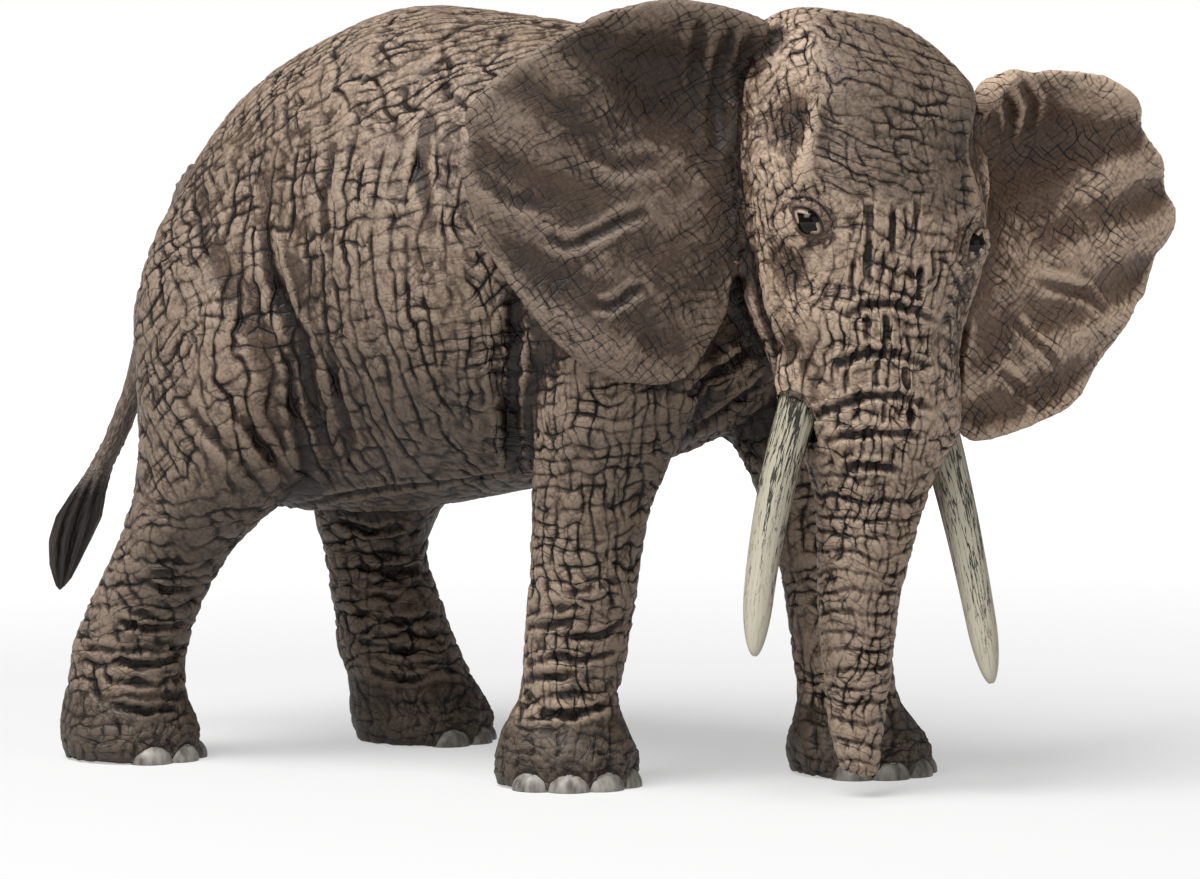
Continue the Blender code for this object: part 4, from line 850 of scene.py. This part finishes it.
# Where wash pools in the cracks, with painted shade in the broader hollows, and where a dry brush catches:
# points lower or higher than the hide round them
hollow, ridge = np.zeros(count), np.zeros(count)
for times, gain in ((4, 0.9), (30, 0.4), (180, 0.35)):
    smoothPoints = blurredPoints(points, times)
    sunk = ((smoothPoints - points) * pointNormals(smoothPoints)).sum(axis=1)
    hollow += gain * np.clip(sunk * 3, -0.2, 1)
    ridge += gain * np.clip(-sunk * 5, -0.2, 1)
hollow, ridge = np.clip(hollow, 0, 0.85), np.clip(ridge, 0, 1)

hollow *= 1 - 0.65 * weights["earLeft"] - 0.3 * weights["earRight"]
# Region tones: each region's paint tone mixed with painted light and shade, lighter on the back and cheek,
# darker on the feet and brow
toneAndShade = sum(weights[name] * region["tone"] for name, region in wrinkles.items())
# Painted shade: the hide that faces downward is darkened
undersideShade = fade(0.1, -0.6, pointNormals(blurredPoints(points, 30))[:, 2]) * bodyWeight
toneAndShade *= 1 - 0.45 * undersideShade

# Parting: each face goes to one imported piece, and each piece is closed where it meets the next
ownerFace = np.argmin(distances[:, quads].mean(axis=2), axis=0)
regionNames = list(wrinkles)
regionWeights = np.array([weights[name] for name in regionNames])
regionFace = np.argmax(regionWeights[:, quads].mean(axis=2), axis=0)


lap = {"ear": 0.6, "body": 1.6}  # how far a piece's closed end turns in under the hide, in mm
softNormals = pointNormals(blurredPoints(points, 20))
layerPlaces = [("coarse", "cut", 0), ("fine", "cut", 1), ("long", "line", 0), ("cross", "line", 1)]
vectorFields = ["coarse", "fine", "long", "cross", "cutWash", "cutDepth", "lineWash", "lineDepth"]


def cornerFields(faces, regions):  # the nets' places at the corners of each face, and how strongly they show
    fields = {label: np.zeros(faces.shape + (3,)) for label in vectorFields}
    fields["fold"] = np.zeros(faces.shape)
    for index, name in enumerate(regionNames):
        own = regions == index
        corners = faces[own]
        strength = np.clip(2 * regionWeights[index][corners] - 0.5, 0, 1) * swing[corners]
        for kind, group, place in layerPlaces:
            cutIn = wrinkles[name][kind]
            turn = np.array(cutIn["turn"].to_matrix())
            fields[kind][own] = bent[corners] @ turn.T / np.array(cutIn["cell"])
            fields[group + "Wash"][own, :, place] = strength * cutIn["wash"]
            fields[group + "Depth"][own, :, place] = strength * cutIn["depth"]
        if "fold" in wrinkles[name]:
            fold = wrinkles[name]["fold"]
            fields["fold"][own] = bent[corners][:, :, 2] / fold["spacing"]
            fields["cutWash"][own, :, 2] = strength * fold["wash"]
            fields["cutDepth"][own, :, 2] = strength * fold["depth"]
    return fields


def closeSlender(ring, places):  # a strip of triangles across a long thin ring, from one of its ends
    start = int(np.argmax(np.linalg.norm(places - places[0], axis=1)))
    ring, places = np.roll(ring, -start), np.roll(places, -start, axis=0)
    low, high, strip = 0, len(ring) - 1, []
    while high - low > 1:
        fromLow = np.linalg.norm(places[low + 1] - places[high])
        fromHigh = np.linalg.norm(places[high - 1] - places[low])
        middle = low + 1 if fromLow < fromHigh else high - 1
        strip.append([ring[middle], ring[low], ring[high]])
        low, high = (middle, high) if fromLow < fromHigh else (low, middle)
    return strip


def buildPiece(name, index):
    chosen = quads[ownerFace == index]
    used, flat = np.unique(chosen, return_inverse=True)
    faces = flat.reshape(-1, 4)
    sides = np.vstack([faces[:, [k, (k + 1) % 4]] for k in range(4)])
    keys = np.sort(sides, axis=1) @ np.array([len(used), 1])
    _, first, times = np.unique(keys, return_index=True, return_counts=True)
    rim = sides[first[times == 1]]
    onward = {}
    for a, b in rim.tolist():
        onward.setdefault(a, []).append(b)
    loops = []
    while onward:
        start = next(iter(onward))
        loop, here = [start], onward[start].pop()
        while here != start:
            loop.append(here)
            here = onward[here].pop()
        loops.append(np.array(loop))
        onward = {a: ends for a, ends in onward.items() if ends}
    rows = points[used]
    walls, fans, inner = [], [], []
    for loop in loops:
        nearEar = distances[2:4, used[loop]].mean(axis=1).min() < 1.2
        depth = lap["ear"] if nearEar else lap["body"]
        ring = len(used) + len(inner) + np.arange(len(loop))
        inner += (rows[loop] - softNormals[used[loop]] * depth).tolist()
        walls += np.stack([np.roll(loop, -1), loop, ring, np.roll(ring, -1)], axis=1).tolist()
        if nearEar:
            fans += closeSlender(ring, rows[loop])
        else:
            fans += np.stack([np.roll(ring, -1), ring, np.full(len(ring), ring[-1] + 1)], axis=1).tolist()
            inner.append(np.mean(inner[-len(ring) :], axis=0))
    rows = np.vstack([rows, inner])
    mesh = bpy.data.meshes.new(name)
    mesh.vertices.add(len(rows))
    mesh.vertices.foreach_set("co", (rows * mm).astype(np.float32).ravel())
    polygons = [faces.ravel(), np.array(walls).ravel(), np.array(fans).ravel()]
    corners = np.concatenate(polygons).astype(np.int64)
    sizes = np.repeat([4, 3], [len(faces) + len(walls), len(fans)]).tolist()
    starts = np.cumsum([0] + sizes[:-1])
    mesh.loops.add(len(corners))
    mesh.loops.foreach_set("vertex_index", corners.astype(np.int32))
    mesh.polygons.add(len(starts))
    mesh.polygons.foreach_set("loop_start", starts.astype(np.int32))
    mesh.update(calc_edges=True)
    mesh.shade_smooth()
    carried = np.concatenate([used, np.repeat(used[:1], len(inner))])
    storeAttribute(mesh, "rest", rest[carried])
    storeAttribute(mesh, "hollow", hollow[carried])
    storeAttribute(mesh, "ridge", ridge[carried])
    storeAttribute(mesh, "tone", toneAndShade[carried])
    for label, field in cornerFields(chosen, regionFace[ownerFace == index]).items():
        flatField = field.reshape(len(chosen) * 4, -1)
        flatField = np.vstack([flatField, np.zeros((len(corners) - len(flatField), flatField.shape[1]))])
        storeAttribute(mesh, label, flatField if label != "fold" else flatField[:, 0], "CORNER")
    mesh.materials.append(paintHide(name + "Paint"))
    print(name, len(corners) - 2 * len(starts), "triangles,", len(loops), "joins")
    return sceneObject(name, mesh)


def dress(piece, node):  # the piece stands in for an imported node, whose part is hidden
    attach(piece, "root")
    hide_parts(node)


def accompany(piece):  # the piece is part of a node that another piece already stands in for
    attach(piece, "root")


for index, node in enumerate(skinNodes):
    dress(buildPiece(pieceNames[node], index), node)
bpy.data.objects.remove(skin)


def loftMesh(name, rings):  # a smooth mesh through rings of points in mm, capped at its ends
    rings = np.array(rings)
    rows, per = rings.shape[:2]
    index = np.arange(rows * per).reshape(rows, per)
    right = np.roll(index, -1, axis=1)
    faces = np.stack([index[:-1], right[:-1], right[1:], index[1:]], axis=-1).reshape(-1, 4).tolist()
    places = rings.reshape(-1, 3)
    places = np.vstack([places, rings[0].mean(axis=0)[None], rings[-1].mean(axis=0)[None]])
    faces += [(k2, k1, rows * per) for k1, k2 in zip(index[0].tolist(), right[0].tolist())]
    faces += [(k1, k2, rows * per + 1) for k1, k2 in zip(index[-1].tolist(), right[-1].tolist())]
    mesh = bpy.data.meshes.new(name)
    mesh.from_pydata((places * mm).tolist(), [], faces)
    shape = bmesh.new()
    shape.from_mesh(mesh)
    bmesh.ops.recalc_face_normals(shape, faces=shape.faces)
    shape.to_mesh(mesh)
    shape.free()
    mesh.shade_smooth()
    return mesh


# Eyes: glossy dark balls, each in a lid that is modelled as a small round patch over the hide. The lid's rings
# are given by how far outside the eye's opening they lie and how high over the hide, above and below the eye
eye = {
    "Right": (807, 222),
    "Left": (980, 243),
    "ball": 1.6,
    "sunk": 1.15,
    "opening": (1.5, 0.66),
    "tilt": -40.0,
}
lidRings = [
    (3.4, -1.6, -1.6),
    (3.4, -0.9, -0.9),
    (3.0, -0.5, -0.5),
    (2.6, -0.15, -0.2),
    (2.3, 0.04, -0.05),
    (2.05, 0.12, 0.0),
    (1.85, 0.08, 0.0),
    (1.7, 0.0, 0.02),
    (1.5, 0.08, 0.0),
    (1.3, 0.26, 0.0),
    (1.1, 0.38, 0.02),
    (0.92, 0.38, 0.04),
    (0.76, 0.24, 0.04),
    (0.64, 0.08, 0.02),
    (0.52, 0.06, 0.04),
    (0.40, 0.16, 0.10),
    (0.28, 0.28, 0.20),
    (0.16, 0.36, 0.26),
    (0.06, 0.36, 0.26),
    (0.0, 0.26, 0.18),
    (-0.06, 0.1, 0.05),
    (-0.1, -0.4, -0.4),
    (-0.1, -1.4, -1.4),
]
glass, _, shader = newPaint("glossyEyePaint", 0.14, 0.25)  # glossy black-brown paint, which takes a small glint
shader["Base Color"].default_value = linear("#0e0907")
lidPaint = paintHide("lidPaint")
softSkin = BVHTree.FromPolygons([Vector(point) for point in blurredPoints(points, 40)], quads.tolist())
for sign, word in ((-1, "Right"), (1, "Left")):
    x, y = eye[word]
    place, out, _, _ = softSkin.ray_cast(Vector(view["place"]) / mm, sight(x, y))
    out = (out * 2 + headSide * sign + headForward).normalized()
    along = (headForward - out * out.dot(headForward)).normalized()
    above = (headUp - out * out.dot(headUp) - along * along.dot(headUp)).normalized()
    rings, hollows, ridges, netted = [], [], [], []
    for outside, high, low in lidRings:
        ring = []
        for k in range(72):
            angle = math.tau * k / 72
            tilt = math.radians(eye["tilt"])
            wide = math.cos(angle) * eye["opening"][0]
            tall = math.sin(angle) * eye["opening"][1] * (1 - 0.5 * math.cos(angle) ** 2)
            wide += math.cos(angle) * outside
            tall += math.sin(angle) * outside
            x = wide * math.cos(tilt) - tall * math.sin(tilt)
            y = wide * math.sin(tilt) + tall * math.cos(tilt)
            upper = 0.5 + 0.5 * math.sin(angle)
            spot = place + along * x + above * y
            base = softSkin.ray_cast(spot + out * 5, -out)[0] or spot
            away = min(max(outside, 0), 1)
            height = low + (high - low) * upper + 0.06 * math.sin(angle * 5 + outside * 4) * away
            ring.append(base + out * height)
            creased = 0.5 < outside < 0.78 or 1.65 < outside < 1.9
            # Dark inside the opening and in the lid's creases, more above the eye: wash together with painted
            # shade
            hollows.append(1.0 if outside < 0 else (0.35 + 0.6 * upper) * creased)
            ridges.append(0.8 if 0 <= outside < 0.3 else 0.3 * upper)
            netted.append(fade(0.5, 1.4, outside))
        rings.append(ring)
    mesh = loftMesh("lid" + word, rings)
    storeAttribute(mesh, "rest", np.array([point.co for point in mesh.vertices]) / mm)
    storeAttribute(mesh, "hollow", np.array(hollows + [0.0, 0.0]))
    storeAttribute(mesh, "ridge", np.array(ridges + [0.0, 0.0]))
    # The lid's region tone, which holds painted light and shade like the hide's
    storeAttribute(mesh, "tone", np.full(len(mesh.vertices), 1.15))
    places = np.array([point.co for point in mesh.vertices]) / mm
    for kind, group, column in layerPlaces:
        cutIn = wrinkles["cheek"][kind]
        storeAttribute(mesh, kind, places @ np.array(cutIn["turn"].to_matrix()).T / np.array(cutIn["cell"]))
    for label in ("cutWash", "lineWash", "cutDepth", "lineDepth"):
        strength = np.array(netted + [0.0, 0.0]) * (0.4 if "Wash" in label else 0.12)
        storeAttribute(mesh, label, np.repeat(strength[:, None], 3, axis=1) * (1, 1, 0))
    mesh.materials.append(lidPaint)
    accompany(sceneObject("lid" + word, mesh))
    shape = bmesh.new()
    bmesh.ops.create_uvsphere(shape, u_segments=48, v_segments=32, radius=eye["ball"] * mm)
    bmesh.ops.translate(shape, vec=(place - out * eye["sunk"]) * mm, verts=shape.verts)
    mesh = bpy.data.meshes.new("eye" + word)
    shape.to_mesh(mesh)
    shape.free()
    mesh.shade_smooth()
    mesh.materials.append(glass)
    accompany(sceneObject("eye" + word, mesh))
print("eyes")

# Toenails: ovals in a fan round each foot's rim, flat below
def nailTree():
    floats = dict.fromkeys(("Spread", "Turn", "Reach", "Level"), "Float")
    tree, given = newGroup("toenails", Count="Int", **floats, Foot="Vector", Size="Vector")
    row = addNode(tree, "GeometryNodeMeshLine", {"Count": given["Count"]})
    last = addNode(tree, "Math", [given["Count"], 1.0], operation="SUBTRACT")
    middle = addNode(tree, "Math", [last, 0.5], operation="MULTIPLY")
    index = addNode(tree, "GeometryNodeInputIndex")
    step = addNode(tree, "Math", [index, middle], operation="SUBTRACT")
    angle = addNode(tree, "Math", [step, given["Spread"]], operation="MULTIPLY")
    angle = addNode(tree, "Math", [angle, given["Turn"]], operation="SUBTRACT")
    sine = addNode(tree, "Math", [angle], operation="SINE")
    cosine = addNode(tree, "Math", [angle], operation="COSINE")
    x = addNode(tree, "Math", [sine, given["Reach"]], operation="MULTIPLY")
    y = addNode(tree, "Math", [cosine, given["Reach"]], operation="MULTIPLY")
    y = addNode(tree, "Math", [y, -1.0], operation="MULTIPLY")
    way = addNode(tree, "CombineXYZ", [x, y, given["Level"]])
    place = addNode(tree, "VectorMath", [way, given["Foot"]], operation="ADD")
    fan = addNode(tree, "GeometryNodeSetPosition", {"Geometry": row, "Position": place})
    oval = addNode(tree, "GeometryNodeMeshUVSphere", {"Segments": 28, "Rings": 18, "Radius": 0.5})
    turn = addNode(tree, "CombineXYZ", {2: angle})
    many = {"Points": fan, "Instance": oval, "Rotation": turn, "Scale": given["Size"]}
    many = addNode(tree, "GeometryNodeInstanceOnPoints", many)
    real = addNode(tree, "GeometryNodeRealizeInstances", [many])
    spot = addNode(tree, "GeometryNodeInputPosition")
    spot = addNode(tree, "VectorMath", [spot, (-1.0, -1.0, 0.0)], operation="MAXIMUM")
    flat = addNode(tree, "GeometryNodeSetPosition", {"Geometry": real, "Position": spot})
    flat = addNode(tree, "GeometryNodeSetShadeSmooth", {"Geometry": flat})
    painted = addNode(tree, "GeometryNodeSetMaterial", {"Geometry": flat, "Material": given["Paint"]})
    addNode(tree, "NodeGroupOutput", [painted], None)
    return tree


nailPaint, tree, shader = newPaint("toenailPaint", 0.42)  # grey-white satin paint, brown wash rubbed over it
place = addNode(tree, "TexCoord", out="Object")
streak = addNode(tree, "VectorMath", [place, (1.0, 1.0, 0.35)], operation="MULTIPLY")
grain = addNode(tree, "TexNoise", {"Vector": streak, "Scale": 0.9 / mm, "Detail": 4.0})
shade = addNode(tree, "MapRange", [grain, 0.35, 0.62, 0.0, 1.0])
coat = addNode(tree, "Mix", {0: shade, 6: linear("#675f56"), 7: linear("#aaa59c")}, 2, data_type="RGBA")
tree.links.new(coat, shader["Base Color"])
fan = nailTree()
for node, foot in feet.items():
    name = "toenails" + pieceNames[node][3:-4]
    row = sceneObject(name, bpy.data.meshes.new(name))
    grow = row.modifiers.new("toenails", "NODES")
    grow.node_group = fan
    reach = foot["foot"] / 2 - nails["thickness"] / 2 + nails["proud"]
    setInput(grow, "Count", foot["count"])
    setInput(grow, "Spread", math.radians(nails["spread"]))
    setInput(grow, "Turn", math.radians(foot["turn"]))
    setInput(grow, "Reach", reach * mm)
    setInput(grow, "Level", nails["level"] * mm)
    x, y = foot["left"] - animal["centreLeft"], animal["centreAhead"] - foot["ahead"]
    setInput(grow, "Foot", (x * mm, y * mm, 0.0))
    setInput(grow, "Size", [nails[label] * mm for label in ("width", "thickness", "height")])
    setInput(grow, "Paint", nailPaint)
    accompany(baked(row))
print("toenails")

# Tusks: blunt, bowed and tapered, with lengthwise cracks that fade towards the tips
tusk = {
    "length": 31.0,
    "width": 4.8,
    "inside": 5.6,
    "apart": 16.4,
    "forward": 6.4,
    "drop": 20.5,
    "splay": 6.3,
    "thrust": 6.0,
    "rootLean": -0.5,
    "tipLean": -1.4,
    "bow": 1.6,
    "taper": 0.36,
    "blunt": 0.78,
    "points": 64,
}
ivory, tree, shader = newPaint("agedTuskPaint", 0.38)  # cream satin paint, wash left in the lengthwise grooves
grainAt = addNode(tree, "Attribute", attribute_name="grain", out="Vector")
share = addNode(tree, "Attribute", attribute_name="share", out="Fac")
noise = {"Vector": grainAt, "Scale": 1.0, "Detail": 4.0, "Roughness": 0.6}
fissures = addNode(tree, "TexNoise", noise)
fissures = addNode(tree, "Math", [fissures, 0.5], operation="SUBTRACT")
fissures = addNode(tree, "Math", [fissures], operation="ABSOLUTE")
width = addNode(tree, "MapRange", [share, 0.25, 1.0, 0.06, 0.0])
blotch = addNode(tree, "TexNoise", {"Vector": grainAt, "Scale": 0.35, "Detail": 2.0})
patch = addNode(tree, "MapRange", [blotch, 0.38, 0.6, 0.25, 1.05])
width = addNode(tree, "Math", [width, patch], operation="MULTIPLY")
spare = addNode(tree, "Math", [width, fissures], operation="SUBTRACT")
groove = addNode(tree, "MapRange", [spare, -0.006, 0.012, 0.0, 0.95])
coat = addNode(tree, "Mix", {0: share, 6: linear("#b5ae98"), 7: linear("#cbc5b1")}, 2, data_type="RGBA")
coat = addNode(tree, "Mix", {0: groove, 6: coat, 7: linear("#17110d")}, 2, data_type="RGBA")
tree.links.new(coat, shader["Base Color"])
bump = {"Height": groove, "Strength": 0.5, "Distance": -0.25 * mm}
tree.links.new(addNode(tree, "Bump", bump), shader["Normal"])
for sign, word in ((-1, "right"), (1, "left")):
    start = headSpot(tusk["forward"], sign * tusk["apart"] / 2 + tusk["rootLean"], 0)
    start -= Vector((0, 0, tusk["drop"]))
    fall = math.sqrt(tusk["length"] ** 2 - tusk["splay"] ** 2 - tusk["thrust"] ** 2)
    reach = headForward * tusk["thrust"] + headSide * (sign * tusk["splay"] + tusk["tipLean"])
    reach -= Vector((0, 0, fall))
    way = reach.normalized()
    outward = (headSide * sign - headForward) * tusk["bow"] / 2
    first = way.cross(headForward).normalized()
    second = first.cross(way)
    rings, grain, shares = [], [], []
    steps = [-tusk["inside"] / tusk["length"], *np.linspace(0, 0.84, 42)]
    steps += [*(0.84 + 0.16 * np.sin(np.linspace(0.1, 1.57, 16)))]
    for part in steps:
        centre = start + reach * part + outward * 4 * max(part, 0) * (1 - part)
        blunt = max(0, part - tusk["blunt"]) / (1 - tusk["blunt"])
        size = (1 - tusk["taper"] * max(part, 0)) * math.sqrt(max(0.02, 1 - 0.97 * blunt**2))
        ring = []
        for k in range(tusk["points"]):
            angle = math.tau * k / tusk["points"]
            flute = 1 + 0.018 * math.sin(9 * angle + 5 * part) + 0.012 * math.sin(17 * angle - 7 * part)
            half = tusk["width"] / 2 * size * (1 + (flute - 1) * (1 - max(part, 0)))
            ring.append(centre + first * math.cos(angle) * half + second * math.sin(angle) * half)
            grain.append((math.cos(angle) * 4.6, math.sin(angle) * 4.6, part * tusk["length"] * 0.2 + 7 * sign))
            shares.append(max(part, 0))
        rings.append(ring)
    mesh = loftMesh("tusk" + word.capitalize(), rings)
    grain += [grain[0], grain[-1]]
    storeAttribute(mesh, "grain", np.array(grain))
    storeAttribute(mesh, "share", np.array(shares + [0.0, 1.0]))
    mesh.materials.append(ivory)
    dress(sceneObject("tusk" + word.capitalize(), mesh), "tusk_" + word)
print("tusks")

# Tail: ringed down to a tuft of twisted locks
tail = {
    "ahead": -44.0,
    "level": 70.0,
    "drop": 51.0,
    "swing": 21.0,
    "locks": 9,
    "ringSpacing": 1.1,
}
tailRows = [  # share of the drop, share of the swing, half width in mm
    (-0.05, -0.10, 2.6),
    (0.00, 0.00, 2.60),
    (0.12, 0.14, 2.05),
    (0.29, 0.285, 1.77),
    (0.49, 0.43, 1.66),
    (0.63, 0.595, 1.56),
    (0.70, 0.70, 1.63),
    (0.77, 0.80, 2.28),
    (0.83, 0.87, 3.00),
    (0.89, 0.935, 2.76),
    (0.95, 0.98, 1.92),
    (0.985, 0.995, 1.2),
    (1.005, 1.01, 0.6),
    (1.015, 1.015, 0.1),
]
rows = np.array(tailRows)
steps = np.linspace(0, 1, 120)
at = np.interp(steps, np.linspace(0, 1, len(rows)), rows[:, 0])
swingAt, halfAt = np.interp(at, rows[:, 0], rows[:, 1]), np.interp(at, rows[:, 0], rows[:, 2])
rings, shares, grain = [], [], []
for drop, sway, half in zip(at, swingAt, halfAt):
    x = -animal["centreLeft"]
    y = animal["centreAhead"] - tail["ahead"] + sway * tail["swing"]
    z = tail["level"] - drop * tail["drop"]
    hairy = float(fade(0.70, 0.78, drop))
    ringed = 0.1 * abs(math.sin(math.pi * drop * tail["drop"] / tail["ringSpacing"])) * (1 - hairy)
    ring = []
    for k in range(72):
        angle = math.tau * k / 72
        lock = abs(math.sin(angle * tail["locks"] / 2 + drop * 9))
        size = half * (1 - ringed) * (1 - hairy * 0.42 * (1 - lock))
        ring.append((x + math.cos(angle) * size, y - math.sin(angle) * size, z))
        shares.append(hairy)
        twist = angle + drop * 2
        grain.append((math.cos(twist) * 3, math.sin(twist) * 3, drop * (tail["drop"] * 0.7 - 25 * hairy)))
    rings.append(ring)
mesh = loftMesh("tailAndTuft", rings)
storeAttribute(mesh, "share", np.array(shares + [0.0, 1.0]))
storeAttribute(mesh, "grain", np.array(grain + [grain[0], grain[-1]]))
hair, tree, shader = newPaint("tailPaint", 0.5)  # the hide's taupe above, near-black satin paint on the tuft
grainAt = addNode(tree, "Attribute", attribute_name="grain", out="Vector")
share = addNode(tree, "Attribute", attribute_name="share", out="Fac")
strand = addNode(tree, "TexNoise", {"Vector": grainAt, "Scale": 1.6, "Detail": 4.0})
tone = addNode(tree, "MapRange", [strand, 0.38, 0.66, 0.0, 1.0])
skinCoat = addNode(tree, "Mix", {0: tone, 6: linear("#5b4d42"), 7: linear("#95867a")}, 2, data_type="RGBA")
tuftCoat = addNode(tree, "Mix", {0: tone, 6: linear("#0f0b09"), 7: linear("#40352d")}, 2, data_type="RGBA")
coat = addNode(tree, "Mix", {0: share, 6: skinCoat, 7: tuftCoat}, 2, data_type="RGBA")
tree.links.new(coat, shader["Base Color"])
bump = {"Height": strand, "Strength": 0.8, "Distance": 0.5 * mm}
tree.links.new(addNode(tree, "Bump", bump), shader["Normal"])
mesh.materials.append(hair)
dress(sceneObject("tailAndTuft", mesh), "tail")
print("tail")

# Studio: white floor and world, a soft key from the upper left, a weak fill
studio = {
    "floor": 8.0,
    "ambient": 0.17,
    "key": 16.3,
    "keyPlace": (-0.62, 0.1, 1.0),
    "keySize": 0.8,
    "fill": 1.7,
    "fillPlace": (-0.3, -1.0, 0.35),
    "fillSize": 0.9,
    "glow": 0.46,
}
floorMesh = bpy.data.meshes.new("floor")
half = studio["floor"] / 2
corners = [(-half, -half, 0), (half, -half, 0), (half, half, 0), (-half, half, 0)]
floorMesh.from_pydata(corners, [], [(0, 1, 2, 3)])
floor = sceneObject("floor", floorMesh)
ground = bpy.data.materials.new("whitePaper")
ground.use_nodes = True
tree = ground.node_tree
tree.nodes.clear()
diffuse = addNode(tree, "BsdfDiffuse", {"Color": (0.45, 0.45, 0.45, 1)})
path = addNode(tree, "LightPath", out=None)
seen = addNode(tree, "Math", [path["Is Camera Ray"], path["Is Glossy Ray"]], operation="MAXIMUM")
place = addNode(tree, "TexCoord", out="Object")
far = addNode(tree, "VectorMath", [place], operation="LENGTH", out="Value")
glow = addNode(tree, "MapRange", [far, 0.12, 0.6, studio["glow"], 1.0])
glow = addNode(tree, "Math", [seen, glow], operation="MULTIPLY")
light = addNode(tree, "Emission", {"Color": (1, 1, 1, 1), "Strength": glow})
both = addNode(tree, "AddShader", [diffuse, light])
addNode(tree, "OutputMaterial", {"Surface": both}, None)
floorMesh.materials.append(ground)

world = bpy.data.worlds.new("studio")
bpy.context.scene.world = world
world.use_nodes = True
tree = world.node_tree
tree.nodes.clear()
seen = addNode(tree, "LightPath", out="Is Camera Ray")
strength = addNode(tree, "MapRange", {0: seen, 3: studio["ambient"], 4: 1.0})
sky = addNode(tree, "Background", {"Color": (1, 1, 1, 1), "Strength": strength})
addNode(tree, "OutputWorld", {"Surface": sky}, None)


def softBox(name, place, size, power):
    data = bpy.data.lights.new(name, "AREA")
    data.shape = "SQUARE"
    data.size = size
    data.energy = power
    box = bpy.data.objects.new(name, data)
    box.location = place
    box.rotation_mode = "QUATERNION"
    box.rotation_quaternion = (Vector((0, 0, 0.04)) - Vector(place)).to_track_quat("-Z", "Y")
    bpy.context.scene.collection.objects.link(box)


softBox("key", studio["keyPlace"], studio["keySize"], studio["key"])
softBox("fill", studio["fillPlace"], studio["fillSize"], studio["fill"])
bpy.context.scene.view_settings.view_transform = "Standard"
